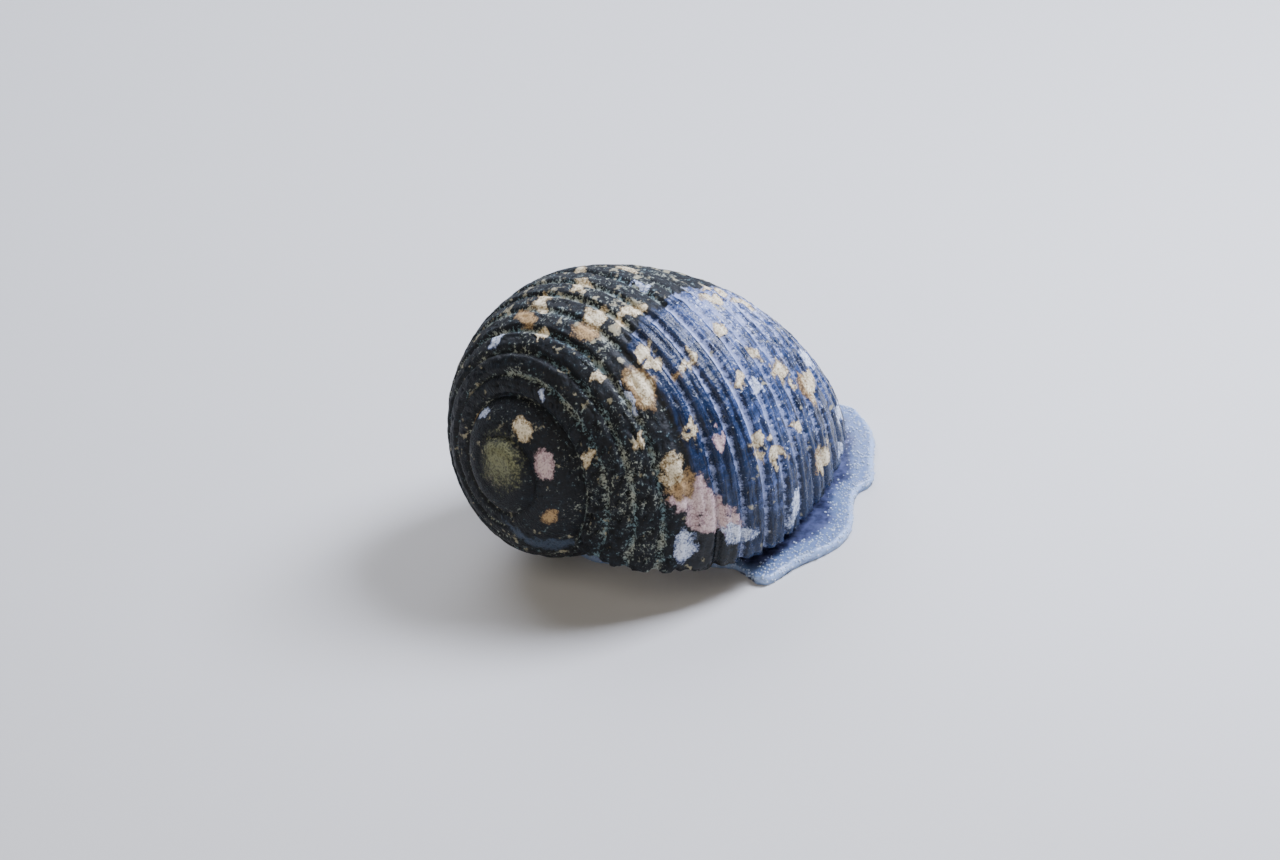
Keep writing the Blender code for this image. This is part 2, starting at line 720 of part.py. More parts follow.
def build_operculum():
    """The D-shaped lid, as wide as the aperture, lying on the tail."""
    outline = door_outline(EDGE_INSETS[1][1])
    outline = (outline - outline.mean(axis=0)) * OPERCULUM_SHRINK + np.array(OPERCULUM_CENTRE)
    bottom = MARGIN_THICKNESS * SOLE_MIDDLE + GAP
    middle = outline.mean(axis=0)
    mesh = bmesh.new()
    rings = []
    for share, rise in OPERCULUM_RINGS:
        level = bottom + OPERCULUM_THICKNESS * rise
        points = middle + (outline - middle) * share
        rings.append([mesh.verts.new((x, y, level)) for x, y in points])
    join_rings(mesh, rings)
    cap_ring(mesh, rings[0], mesh.verts.new((*middle, bottom)))
    cap_ring(mesh, rings[-1], mesh.verts.new((*middle, level)))
    finish = material("operculum_brown", (0.16, 0.11, 0.09), 0.4)
    make_object("operculum", finished(mesh), finish)


def main():
    """Builds every piece of the snail."""
    clear_scene()
    tree = build_shell()
    flesh = material("flesh_grey", (0.45, 0.44, 0.5), 0.45)
    build_foot(flesh)
    build_head(flesh)
    build_mantle(tree, flesh)
    build_operculum()


main()
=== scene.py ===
"""Looks of a nerite snail that crawls on a flat floor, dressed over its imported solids.

Shapes are worked out in millimetres and written to Blender in metres. The shell is a logarithmic coil: one lip curve,
turned and shrunk about a slanted axis, with a rib profile along it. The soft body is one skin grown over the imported
pieces of flesh.
"""

import logging
import math
from dataclasses import dataclass, field
from enum import Enum

import bmesh
import bpy
import numpy as np
from mathutils import Matrix, Vector, noise
from mathutils.bvhtree import BVHTree
from mathutils.kdtree import KDTree

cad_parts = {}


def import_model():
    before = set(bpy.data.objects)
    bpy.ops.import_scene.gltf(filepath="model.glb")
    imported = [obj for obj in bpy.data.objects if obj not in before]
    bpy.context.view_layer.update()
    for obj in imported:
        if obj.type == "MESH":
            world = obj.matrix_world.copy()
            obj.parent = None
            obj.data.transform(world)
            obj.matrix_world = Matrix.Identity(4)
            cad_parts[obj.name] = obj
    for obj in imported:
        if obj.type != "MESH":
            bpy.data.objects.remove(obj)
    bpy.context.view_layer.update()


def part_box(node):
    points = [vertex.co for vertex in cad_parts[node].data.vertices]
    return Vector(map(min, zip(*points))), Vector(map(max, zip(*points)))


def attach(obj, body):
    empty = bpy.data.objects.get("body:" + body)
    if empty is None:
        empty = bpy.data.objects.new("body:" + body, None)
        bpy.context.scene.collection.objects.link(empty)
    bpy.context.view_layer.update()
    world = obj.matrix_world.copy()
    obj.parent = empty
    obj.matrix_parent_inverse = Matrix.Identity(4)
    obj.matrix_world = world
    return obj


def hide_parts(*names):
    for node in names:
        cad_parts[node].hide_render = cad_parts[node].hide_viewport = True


LOG = logging.getLogger("nerite")
MM = 0.001
BODY = "root"
Points = np.ndarray
Sizes = tuple[float, float, float]
Span = tuple[float, float]
Socket = bpy.types.NodeSocket
Tree = bpy.types.NodeTree


class Side(Enum):
    """Left or right of the snail, with the sign of Y on that side."""

    LEFT = 1
    RIGHT = -1

    @property
    def word(self) -> str:
        """The side in lower case, as node names have it."""
        return self.name.lower()


class Change(Enum):
    """What one solid does to another."""

    JOIN = "UNION"
    CUT = "DIFFERENCE"


class Tint(Enum):
    """The kinds of pale mark on the shell, as the colours of its middle and of its edge. Some white ones are painted
    highlights.
    """

    KHAKI = ("#7c7d5a", "#3d3f2e")
    LILAC = ("#3b4757", "#151e28")
    ROSE = ("#cdb6b2", "#94787c")
    ORANGE = ("#a88a5e", "#5b4832")
    CREAM = ("#e2d5b6", "#84704b")
    WHITE = ("#d6deec", "#5f6d92")

    @property
    def word(self) -> str:
        """The tint's name in lower case."""
        return self.name.lower()

    @property
    def light(self) -> str:
        """The colour of its middle."""
        return self.value[0]

    @property
    def dark(self) -> str:
        """The colour of its edge."""
        return self.value[1]


def smooth(value: Points | float) -> Points:
    """Eases from 0 to 1 as the value goes from 0 to 1."""
    value = np.clip(value, 0.0, 1.0)
    return value * value * (3 - 2 * value)


def direction(bearing: float, rise: float) -> Points:
    """Unit vector at a bearing from +X and a rise above the floor, in degrees."""
    flat = math.cos(math.radians(rise))
    angle = math.radians(bearing)
    return np.array([flat * math.cos(angle), flat * math.sin(angle), math.sin(math.radians(rise))])


def rotation(axis: Points, angle: float) -> Points:
    """Matrix that turns by an angle in radians about a unit axis."""
    x, y, z = axis
    cross = np.array([[0, -z, y], [z, 0, -x], [-y, x, 0]])
    return np.eye(3) * math.cos(angle) + cross * math.sin(angle) + (1 - math.cos(angle)) * np.outer(axis, axis)


def cloud(point: Points, scale: float, octaves: int = 3) -> float:
    """Layered noise about 0 at a point in millimetres.

    Args:
        point: where the noise is read.
        scale: size of the largest lumps, in millimetres.
        octaves: how many finer layers are added.

    Returns:
        A value of about -1 to 1.
    """
    return noise.fractal(Vector(point) / scale, 0.9, 2.1, octaves, noise_basis="PERLIN_ORIGINAL")


def drift(points: Points, size: float) -> Points:
    """Smooth wandering offsets of about -1 to 1 at some points, with waves of a size in millimetres."""
    starts = [Vector(start) for start in ((0.0, 0.0, 0.0), (31.4, 15.9, 7.7), (-12.3, 44.1, 21.8))]
    return np.array([[noise.noise(Vector(point) / size + start) for start in starts] for point in points])


def linear(colour: str) -> tuple[float, float, float, float]:
    """Linear colour, with alpha, of an sRGB hex value such as #a0b1c2."""
    parts = [int(colour[place : place + 2], 16) / 255 for place in (1, 3, 5)]
    return (*[part / 12.92 if part <= 0.04045 else ((part + 0.055) / 1.055) ** 2.4 for part in parts], 1.0)


# Meshes


def finished(mesh: bmesh.types.BMesh) -> bmesh.types.BMesh:
    """The mesh with its faces pointing out."""
    bmesh.ops.recalc_face_normals(mesh, faces=mesh.faces[:])
    return mesh


def join_rings(mesh: bmesh.types.BMesh, rings: list[list[bmesh.types.BMVert]]) -> None:
    """Adds quads between each ring of vertices and the next."""
    count = len(rings[0])
    for upper, lower in zip(rings, rings[1:]):
        for index in range(count):
            after = (index + 1) % count
            mesh.faces.new((upper[index], upper[after], lower[after], lower[index]))


def cap_ring(mesh: bmesh.types.BMesh, ring: list[bmesh.types.BMVert], point: Points) -> None:
    """Adds triangles from a ring to one new vertex."""
    middle = mesh.verts.new(point)
    for index, start in enumerate(ring):
        mesh.faces.new((start, ring[(index + 1) % len(ring)], middle))


def ellipsoid(centre: Points, radii: Sizes, around: int = 40, down: int = 24) -> bmesh.types.BMesh:
    """Closed mesh of an ellipsoid, in millimetres."""
    mesh = bmesh.new()
    bmesh.ops.create_uvsphere(mesh, u_segments=around, v_segments=down, radius=1.0)
    for vertex in mesh.verts:
        vertex.co = Vector(centre) + Vector([value * radius for value, radius in zip(vertex.co, radii)])
    return finished(mesh)


def block(low: Sizes, high: Sizes) -> bmesh.types.BMesh:
    """Closed box between two corners, in millimetres."""
    mesh = bmesh.new()
    bmesh.ops.create_cube(mesh, size=1.0)
    for vertex in mesh.verts:
        vertex.co = Vector([a + (b - a) * (value + 0.5) for value, a, b in zip(vertex.co, low, high)])
    return finished(mesh)


def tube(path: Points, radii: Points, sides: int = 24) -> bmesh.types.BMesh:
    """Closed tapered tube along a path, with rounded ends.

    Args:
        path: centre line, in millimetres.
        radii: radius at each point of the path.
        sides: vertices around the tube.

    Returns:
        The mesh, in millimetres.
    """
    mesh = bmesh.new()
    rings = []
    ways = np.gradient(path, axis=0)
    for point, way, radius in zip(path, ways, radii):
        along = Vector(way).normalized()
        side = along.cross(Vector((0, 0, 1))).normalized()
        up = side.cross(along)
        turns = [math.tau * step / sides for step in range(sides)]
        rings.append([mesh.verts.new(Vector(point) + (side * math.cos(t) + up * math.sin(t)) * radius) for t in turns])
    join_rings(mesh, rings)
    for ring, end, way in ((rings[0], 0, -1.0), (rings[-1], -1, 1.0)):
        out = ways[end] / np.linalg.norm(ways[end]) * way
        cap_ring(mesh, ring, path[end] + out * radii[end] * 0.7)
    return finished(mesh)


def piece(name: str, mesh: bmesh.types.BMesh, scale: float = MM) -> bpy.types.Object:
    """An object at the origin from a mesh.

    Args:
        name: name of the object.
        mesh: the mesh, which is freed.
        scale: metres for each unit of the mesh.

    Returns:
        The object, linked to the scene.
    """
    for vertex in mesh.verts:
        vertex.co *= scale
    data = bpy.data.meshes.new(name)
    mesh.to_mesh(data)
    mesh.free()
    data.shade_smooth()
    made = bpy.data.objects.new(name, data)
    bpy.context.scene.collection.objects.link(made)
    return made


def settle(target: bpy.types.Object) -> None:
    """Turns what an object's modifiers make of it into its plain mesh."""
    bpy.context.view_layer.update()
    graph = bpy.context.evaluated_depsgraph_get()
    result = bpy.data.meshes.new_from_object(target.evaluated_get(graph))
    target.modifiers.clear()
    target.data = result


def combine(target: bpy.types.Object, tool: bpy.types.Object, change: Change) -> None:
    """Applies one Boolean of a tool object to the target, and removes the tool.

    Args:
        target: the object that changes.
        tool: the object that is joined to it or cut from it.
        change: whether it is joined or cut.
    """
    modifier = target.modifiers.new("combine", "BOOLEAN")
    modifier.operation = change.value
    modifier.object = tool
    modifier.solver = "MANIFOLD"
    settle(target)
    bpy.data.objects.remove(tool)


def node_copy(name: str) -> bmesh.types.BMesh:
    """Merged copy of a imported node's mesh, in millimetres."""
    mesh = bmesh.new()
    mesh.from_mesh(bpy.data.objects[name].data)
    for vertex in mesh.verts:
        vertex.co /= MM
    bmesh.ops.remove_doubles(mesh, verts=mesh.verts[:], dist=0.0005)
    return mesh


def box_of(node: str) -> tuple[Points, Points]:
    """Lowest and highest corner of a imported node, in millimetres."""
    low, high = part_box(node)
    return np.array(low) / MM, np.array(high) / MM


def write_values(data: bpy.types.Mesh, name: str, values: Points) -> None:
    """Stores one number for each vertex of a mesh under a name."""
    layer = data.attributes.new(name, "FLOAT", "POINT")
    layer.data.foreach_set("value", np.asarray(values, dtype=np.float32))


def places_of(data: bpy.types.Mesh) -> Points:
    """Vertex places of a mesh, in its own unit."""
    flat = np.empty(len(data.vertices) * 3, dtype=np.float32)
    data.vertices.foreach_get("co", flat)
    return flat.reshape(-1, 3).astype(float)


def normals_of(data: bpy.types.Mesh) -> Points:
    """Vertex normals of a mesh."""
    flat = np.empty(len(data.vertices) * 3, dtype=np.float32)
    data.vertex_normals.foreach_get("vector", flat)
    return flat.reshape(-1, 3).astype(float)


def complete(target: bpy.types.Object, finish: bpy.types.Material) -> bpy.types.Object:
    """The object, taken from millimetres to metres, with smooth faces and one material."""
    data = target.data
    data.vertices.foreach_set("co", (places_of(data) * MM).astype(np.float32).ravel())
    data.update()
    data.shade_smooth()
    data.materials.clear()
    data.materials.append(finish)
    return target


# Node trees


def add(tree: Tree, kind: str, inputs: dict | None = None, **settings: object) -> bpy.types.Node:
    """Adds a node with its settings and links.

    Args:
        tree: the node tree.
        kind: Blender's name of the node's type.
        inputs: socket name or number to a value, or to the socket that feeds it.
        settings: properties of the node.

    Returns:
        The node.
    """
    node = tree.nodes.new(kind)
    for name, value in settings.items():
        setattr(node, name, value)
    for name, value in (inputs or {}).items():
        if isinstance(value, Socket):
            tree.links.new(value, node.inputs[name])
        else:
            node.inputs[name].default_value = value
    return node


def new_tree(name: str, sockets: dict[str, str]) -> tuple[Tree, Socket]:
    """Starts a Geometry Nodes tree.

    Args:
        name: name of the tree.
        sockets: label of each input after the geometry, to the last word of Blender's name of its kind.

    Returns:
        The tree and the outputs of its input node.
    """
    tree = bpy.data.node_groups.new(name, "GeometryNodeTree")
    for label, kind in {"Geometry": "Geometry", **sockets, "Material": "Material"}.items():
        tree.interface.new_socket(label, in_out="INPUT", socket_type="NodeSocket" + kind)
    tree.interface.new_socket("Geometry", in_out="OUTPUT", socket_type="NodeSocketGeometry")
    return tree, add(tree, "NodeGroupInput").outputs


def close_tree(tree: Tree, geometry: Socket, finish: Socket) -> None:
    """Ends a tree in Realize Instances and Set Material."""
    solid = add(tree, "GeometryNodeRealizeInstances", {0: geometry}).outputs[0]
    dressed = add(tree, "GeometryNodeSetMaterial", {"Geometry": solid, "Material": finish}).outputs[0]
    add(tree, "NodeGroupOutput", {0: dressed})


def grow(target: bpy.types.Object, tree: Tree, values: dict[str, object]) -> None:
    """Runs a tree on an object and keeps the result as its plain mesh.

    Args:
        target: the object whose mesh goes in.
        tree: the tree.
        values: label of each input to its value.
    """
    modifier = target.modifiers.new(tree.name, "NODES")
    modifier.node_group = tree
    for item in tree.interface.items_tree:
        if item.in_out == "INPUT" and item.name in values:
            modifier[item.identifier] = values[item.name]
    settle(target)


def maths(tree: Tree, operation: str, *values: Socket | float) -> Socket:
    """The result of one Math node on two or three values."""
    return add(tree, "ShaderNodeMath", dict(enumerate(values)), operation=operation).outputs[0]


def total(tree: Tree, *parts: tuple[Socket, float]) -> Socket:
    """The sum of some values, each times its weight."""
    sum_so_far = 0.0
    for value, weight in parts:
        sum_so_far = maths(tree, "MULTIPLY_ADD", value, weight, sum_so_far)
    return sum_so_far


def blank(name: str) -> tuple[bpy.types.Material, Tree, bpy.types.Node]:
    """A new material, its tree and its Principled shader."""
    made = bpy.data.materials.new(name)
    made.use_nodes = True
    return made, made.node_tree, made.node_tree.nodes["Principled BSDF"]


def ramp(tree: Tree, factor: Socket, low: float, high: float) -> Socket:
    """A smooth mask that goes from 0 to 1 as the factor goes from low to high."""
    made = add(
        tree, "ShaderNodeMapRange", {"Value": factor, "From Min": low, "From Max": high}, interpolation_type="SMOOTHSTEP"
    )
    return made.outputs["Result"]


def times(tree: Tree, *values: Socket | float) -> Socket:
    """The product of some values."""
    product = values[0]
    for value in values[1:]:
        product = maths(tree, "MULTIPLY", product, value)
    return product


def blend(
    tree: Tree,
    mask: Socket | float,
    below: Socket | tuple,
    above: Socket | tuple,
) -> Socket:
    """A colour that goes from the one below to the one above with the mask."""
    made = add(tree, "ShaderNodeMix", {0: mask, 6: below, 7: above}, data_type="RGBA")
    return made.outputs[2]


def speckle(
    tree: Tree, place: Socket, size: float, detail: float = 3.0, seed: float = 0.0
) -> Socket:
    """Noise with lumps of a size in millimetres, read at a place in metres."""
    made = add(
        tree,
        "ShaderNodeTexNoise",
        {"Vector": place, "W": seed, "Scale": 1 / (size * MM), "Detail": detail, "Roughness": 0.6},
        noise_dimensions="4D",
    )
    return made.outputs["Fac"]


@dataclass(frozen=True)
class ShellFinish:
    """Weathered nerite shell. Its dark prisms are glossy and damp, and pale chalk shows in grooves and worn spots. The
    fresh slate growth carries painted sky sheen, painted glints and painted shade on its cords.
    """

    black: str = "#00040a"
    blue_black: str = "#04141f"
    chalk: str = "#6b8388"
    bone: str = "#9ba092"
    ochre: str = "#9b957c"
    # Deep navy is painted shade on the cords.
    deep_navy: str = "#060e1f"
    navy: str = "#132441"
    slate: str = "#3f4e77"
    # Lavender is partly pale groove colour and partly painted sky reflection.
    lavender: str = "#95a0c6"
    porcelain: str = "#d6d0cc"
    arc: float = 0.157
    chip_size: float = 0.24
    grain_size: float = 0.1
    growth_lines: Span = (0.25, 1.6)
    dashes: Span = (1.5, 0.22)

    def stretched(
        self, tree: Tree, strips: Socket, size: Span
    ) -> Socket:
        """Noise on the unrolled shell, with grains of one size along the whorl and one across it, in millimetres."""
        scale = (1 / size[0], 1 / size[1], 1.0)
        place = add(tree, "ShaderNodeMapping", {"Vector": strips, "Scale": scale}).outputs[0]
        return add(tree, "ShaderNodeTexNoise", {"Vector": place, "Scale": 1.0, "Detail": 3.0}).outputs["Fac"]

    def build(self) -> bpy.types.Material:
        """The material."""
        # Damp dark shell gives the eye a satin gloss broken by dull chalk. The grain is coarser than real, to show.
        made, tree, shader = blank("weathered_shell")
        place = add(tree, "ShaderNodeTexCoord").outputs["Object"]
        names = ("turn", "reach", "lift", "inside", "chalk", "fresh", "pale", "fleck", *(tint.word for tint in Tint))
        value = {name: add(tree, "ShaderNodeAttribute", attribute_name=name).outputs["Fac"] for name in names}
        along = times(tree, value["turn"], self.arc)
        strips = add(tree, "ShaderNodeCombineXYZ", {"X": along, "Y": value["reach"]}).outputs[0]
        lines = self.stretched(tree, strips, self.growth_lines)
        dashes = self.stretched(tree, strips, self.dashes)
        chips = speckle(tree, place, self.chip_size, 5.0)
        grain = speckle(tree, place, self.grain_size, 2.0, 3.0)
        wide = speckle(tree, place, 1.6, 3.0, 7.0)
        flecks = speckle(tree, place, 0.6, 3.0, 11.0)
        groove = maths(tree, "SUBTRACT", 1.0, value["lift"])

        old = blend(tree, ramp(tree, chips, 0.45, 0.7), linear(self.black), linear(self.blue_black))
        worn = total(tree, (groove, 0.09), (value["chalk"], 0.14), (chips, 0.48), (grain, 0.4), (wide, 0.16))
        pale = blend(tree, ramp(tree, wide, 0.42, 0.6), linear(self.chalk), linear(self.bone))
        old = blend(tree, times(tree, ramp(tree, worn, 0.69, 0.8), 0.85), old, pale)

        # The pale value lifts the fresh navy towards slate: painted sky sheen.
        tone = total(tree, (lines, 0.4), (wide, 0.4), (grain, 0.2), (value["pale"], 0.12))
        new = blend(tree, ramp(tree, tone, 0.5, 0.68), linear(self.navy), linear(self.slate))
        # Dark navy dashes on the cords are painted shade that deepens the rib relief.
        painted_rib_shade = times(tree, ramp(tree, dashes, 0.5, 0.58), ramp(tree, value["lift"], 0.3, 0.8))
        new = blend(tree, times(tree, painted_rib_shade, 0.75), new, linear(self.deep_navy))
        # Lavender in the grooves and over the upper fresh growth: partly the grooves' own pale colour, partly painted
        # sky reflection.
        pale_grooves_and_sheen = total(tree, (groove, 0.3), (lines, 0.35), (chips, 0.45), (grain, 0.35), (value["pale"], 0.17))
        new = blend(tree, times(tree, ramp(tree, pale_grooves_and_sheen, 0.75, 0.95), 0.95), new, linear(self.lavender))

        # White dots over the fresh growth are painted glints.
        painted_glints = ramp(tree, total(tree, (grain, 0.5), (chips, 0.5), (value["pale"], 0.05)), 0.62, 0.68)
        new = blend(tree, times(tree, painted_glints, 0.7), new, linear(Tint.WHITE.light))
        edge = maths(tree, "MULTIPLY_ADD", maths(tree, "SUBTRACT", chips, 0.5), 1.2, value["fresh"])
        fresh = ramp(tree, edge, 0.3, 0.7)
        colour = blend(tree, fresh, old, new)
        stray = times(tree, ramp(tree, total(tree, (flecks, 1.0), (value["fleck"], 0.07)), 0.62, 0.7), 0.8)
        colour = blend(tree, stray, colour, linear(self.ochre))
        ragged = total(tree, (chips, 1.1), (grain, 0.5), (lines, 0.4))
        for tint in Tint:
            depth = maths(tree, "ADD", value[tint.word], maths(tree, "SUBTRACT", ragged, 1.0))
            mottled = ramp(tree, total(tree, (depth, 0.8), (grain, 1.6)), 1.05, 1.75)
            shade = blend(tree, mottled, linear(tint.dark), linear(tint.light))
            mask = times(tree, ramp(tree, depth, 0.3, 0.65), ramp(tree, value[tint.word], 0.0, 0.2))
            colour = blend(tree, times(tree, mask, 0.95), colour, shade)
        colour = blend(tree, value["inside"], colour, linear(self.porcelain))
        tree.links.new(colour, shader.inputs["Base Color"])
        matt = maths(tree, "MAXIMUM", ramp(tree, worn, 0.55, 0.75), value["chalk"])
        rough = add(tree, "ShaderNodeMapRange", {"Value": matt, "To Min": 0.24, "To Max": 0.7}).outputs["Result"]
        tree.links.new(rough, shader.inputs["Roughness"])
        shader.inputs["IOR"].default_value = 1.53
        shader.inputs["Specular IOR Level"].default_value = 0.3
        relief = total(tree, (lines, 0.7), (grain, 0.5), (chips, 1.0))
        bump = add(tree, "ShaderNodeBump", {"Height": relief, "Strength": 0.8, "Distance": 0.07 * MM})
        tree.links.new(bump.outputs[0], shader.inputs["Normal"])
        return made


@dataclass(frozen=True)
class FleshFinish:
    """Wet mollusc skin: grey-violet, wrinkled and a little translucent, paler and grainy towards the foot's margin."""

    base: str = "#4f5678"
    shade: str = "#292e47"
    band: str = "#65799f"
    rim: str = "#95aace"
    grain: str = "#b9c7e2"
    # The slit colour is near-black painted shade for the mouth slit.
    slit: str = "#14131d"
    mottle_size: float = 0.35
    blot_size: float = 0.9

    def build(self) -> bpy.types.Material:
        """The material."""
        # Wet skin gives the eye a soft inner glow under a thin gloss, with grey-violet mottles.
        made, tree, shader = blank("wet_flesh")
        place = add(tree, "ShaderNodeTexCoord").outputs["Object"]
        names = ("margin", "rim", "crease", "speck")
        value = {name: add(tree, "ShaderNodeAttribute", attribute_name=name).outputs["Fac"] for name in names}
        mottle = speckle(tree, place, self.mottle_size, 4.0)
        blots = speckle(tree, place, self.blot_size, 3.0, 5.0)
        colour = blend(tree, ramp(tree, mottle, 0.35, 0.65), linear(self.shade), linear(self.base))
        band = times(tree, ramp(tree, total(tree, (value["margin"], 0.7), (blots, 0.6)), 0.45, 0.95), 0.9)
        colour = blend(tree, band, colour, linear(self.band))
        pale = times(tree, ramp(tree, total(tree, (value["rim"], 0.6), (mottle, 0.5)), 0.4, 0.8), 0.9)
        colour = blend(tree, pale, colour, linear(self.rim))
        colour = blend(tree, times(tree, value["speck"], 0.8), colour, linear(self.grain))
        # The crease value paints near-black shade into the mouth slit.
        colour = blend(tree, value["crease"], colour, linear(self.slit))
        tree.links.new(colour, shader.inputs["Base Color"])
        shader.inputs["Roughness"].default_value = 0.3
        shader.inputs["IOR"].default_value = 1.38
        shader.inputs["Subsurface Weight"].default_value = 0.3
        shader.inputs["Subsurface Radius"].default_value = (0.8, 0.7, 1.0)
        shader.inputs["Subsurface Scale"].default_value = 0.4 * MM
        bump = add(tree, "ShaderNodeBump", {"Height": mottle, "Strength": 0.6, "Distance": 0.08 * MM})
        tree.links.new(bump.outputs[0], shader.inputs["Normal"])
        return made


@dataclass(frozen=True)
class EyeFinish:
    """A snail's lens eye under clear wet skin: near black, polished, with a faint brown bloom."""

    pupil: str = "#060607"
    bloom: str = "#2b211c"

    def build(self) -> bpy.types.Material:
        """The material."""
        # The clear lens gives the eye a sharp highlight on near black.
        made, tree, shader = blank("wet_eye")
        place = add(tree, "ShaderNodeTexCoord").outputs["Object"]
        bloom = ramp(tree, speckle(tree, place, 0.12, 2.0), 0.45, 0.75)
        colour = blend(tree, bloom, linear(self.pupil), linear(self.bloom))
        tree.links.new(colour, shader.inputs["Base Color"])
        shader.inputs["Roughness"].default_value = 0.08
        shader.inputs["IOR"].default_value = 1.4
        shader.inputs["Coat Weight"].default_value = 1.0
        shader.inputs["Coat Roughness"].default_value = 0.03
        return made


@dataclass(frozen=True)
class LidFinish:
    """Limy nerite operculum: smooth, finely granular, slate with a warmer rim and faint growth bands."""

    plate: str = "#4a4650"
    band: str = "#7d6a58"
    grain_size: float = 0.1

    def build(self) -> bpy.types.Material:
        """The material."""
        # Limy plate gives the eye a smooth slate sheen. Its granules are drawn coarser than real, to show.
        made, tree, shader = blank("limy_operculum")
        place = add(tree, "ShaderNodeTexCoord").outputs["Object"]
        ring = add(tree, "ShaderNodeAttribute", attribute_name="ring").outputs["Fac"]
        grain = speckle(tree, place, self.grain_size, 3.0)
        waves = maths(tree, "SINE", times(tree, ring, 40.0))
        tone = total(tree, (waves, 0.06), (ring, 0.35), (grain, 0.8))
        colour = blend(tree, ramp(tree, tone, 0.45, 0.95), linear(self.plate), linear(self.band))
        tree.links.new(colour, shader.inputs["Base Color"])
        shader.inputs["Roughness"].default_value = 0.38
        shader.inputs["IOR"].default_value = 1.53
        bump = add(tree, "ShaderNodeBump", {"Height": tone, "Strength": 0.4, "Distance": 0.04 * MM})
        tree.links.new(bump.outputs[0], shader.inputs["Normal"])
        return made


@dataclass(frozen=True)
class FloorFinish:
    """Plain matt pale paper, a little grained."""

    paper: str = "#c3c2bf"
    fleck: str = "#b2b1ae"

    def build(self) -> bpy.types.Material:
        """The material."""
        # Paper gives the eye an even pale ground. Its fibres are drawn as broad faint clouds.
        made, tree, shader = blank("pale_floor")
        place = add(tree, "ShaderNodeTexCoord").outputs["Object"]
        tone = blend(tree, times(tree, speckle(tree, place, 6.0), 0.12), linear(self.paper), linear(self.fleck))
        tree.links.new(tone, shader.inputs["Base Color"])
        shader.inputs["Roughness"].default_value = 0.8
        return made


# The shell


@dataclass(frozen=True)
class Coil:
    """The coil and its lip curve, in millimetres. Place 0 is the front end of the lip and pi its rear end."""

    growth_per_turn: float = 2.077
    axis: Points = field(default_factory=lambda: direction(230.65, 13.75))
    centre: Points = field(default_factory=lambda: np.array([-8.84, -7.09, 7.14]))
    rim_height: float = 1.6
    lip_centre: Span = (-0.86, -0.19)
    lip_bearing: float = 77.5
    half_lengths: Span = (8.5, 11.92)
    depth: float = 6.83
    roundness: Span = (0.838, 1.167)
    climb_span: float = 1.109
    front_end: float = 0.75
    base_reach: float = 16.4
    base_bend: float = 0.45
    suture_place: float = 2.407
    suture_advance: float = 0.331

    @property
    def rate(self) -> float:
        """Natural logarithm of the growth in one radian."""
        return math.log(self.growth_per_turn) / math.tau

    @property
    def suture_angle(self) -> float:
        """Angle of the coil between a place on the suture and the turn below it."""
        return math.tau - self.suture_advance

    def turned(self, points: Points, angle: float) -> Points:
        """Lip points turned back along the coil: -tau is one turn back."""
        return self.centre + math.exp(self.rate * angle) * ((points - self.centre) @ rotation(self.axis, -angle).T)

    def plain_lip(self, place: Points) -> Points:
        """The half ellipse of the lip in the rim plane."""
        place = np.atleast_1d(place)
        front = place < math.pi / 2
        power = np.where(front, *self.roundness)
        along = np.where(front, self.half_lengths[0], -self.half_lengths[1]) * np.abs(np.cos(place)) ** power
        out = self.depth * np.abs(np.sin(place)) ** power
        way = direction(self.lip_bearing, 0.0)
        side = direction(self.lip_bearing - 90.0, 0.0)
        return np.array([*self.lip_centre, self.rim_height]) + along[:, None] * way + out[:, None] * side

    def climb(self, place: Points) -> Points:
        """How far a place on the lip has moved from the rim plane towards the suture."""
        return smooth((place - (math.pi - self.climb_span)) / self.climb_span)

    def suture_start(self) -> Points:
        """The lip's rear end, which lies on the turn before, at that turn's own suture place."""
        shrink = self.turned(self.centre + np.eye(3), -self.suture_angle) - self.centre
        share = float(self.climb(np.array(self.suture_place)))
        plain = self.plain_lip(self.suture_place)[0] - self.centre
        return self.centre + np.linalg.solve(np.eye(3) - share * shrink.T, (1 - share) * (shrink.T @ plain))

    def lip(self, place: Points) -> Points:
        """The lip curve, out to the suture."""
        place = np.atleast_1d(place)
        share = self.climb(place)[:, None]
        return self.plain_lip(place) * (1 - share) + self.suture_start() * share

    def outward(self, place: Points) -> Points:
        """Level unit vectors that point out of the aperture at places on the lip."""
        along = self.lip(np.asarray(place) + 0.01) - self.lip(np.asarray(place) - 0.01)
        out = np.stack([-along[:, 1], along[:, 0], np.zeros(len(along))], axis=1)
        return out / np.linalg.norm(out, axis=1, keepdims=True)

    def normal(self, place: Points) -> Points:
        """Outward normals of the shell at the lip, for the ribs to rise along."""
        place = np.clip(place, 0.02, math.pi - 0.05)
        across = self.lip(place + 0.01) - self.lip(place - 0.01)
        along = self.turned(self.lip(place), 0.01) - self.turned(self.lip(place), -0.01)
        normal = np.cross(across, along)
        return normal / np.linalg.norm(normal, axis=1, keepdims=True)

    def base_curve(self, count: int) -> Points:
        """Points that close the shell's base, from the lip's front end round to the coil axis."""
        start = self.lip([self.front_end])[0]
        along = self.lip([self.front_end - 0.01])[0] - start
        end = self.centre - self.axis * self.base_reach
        bend = start + along / np.linalg.norm(along) * self.base_bend * np.linalg.norm(end - start)
        shares = np.linspace(0, 1, count + 1)[1:, None]
        return (1 - shares) ** 2 * start + 2 * shares * (1 - shares) * bend + shares**2 * end


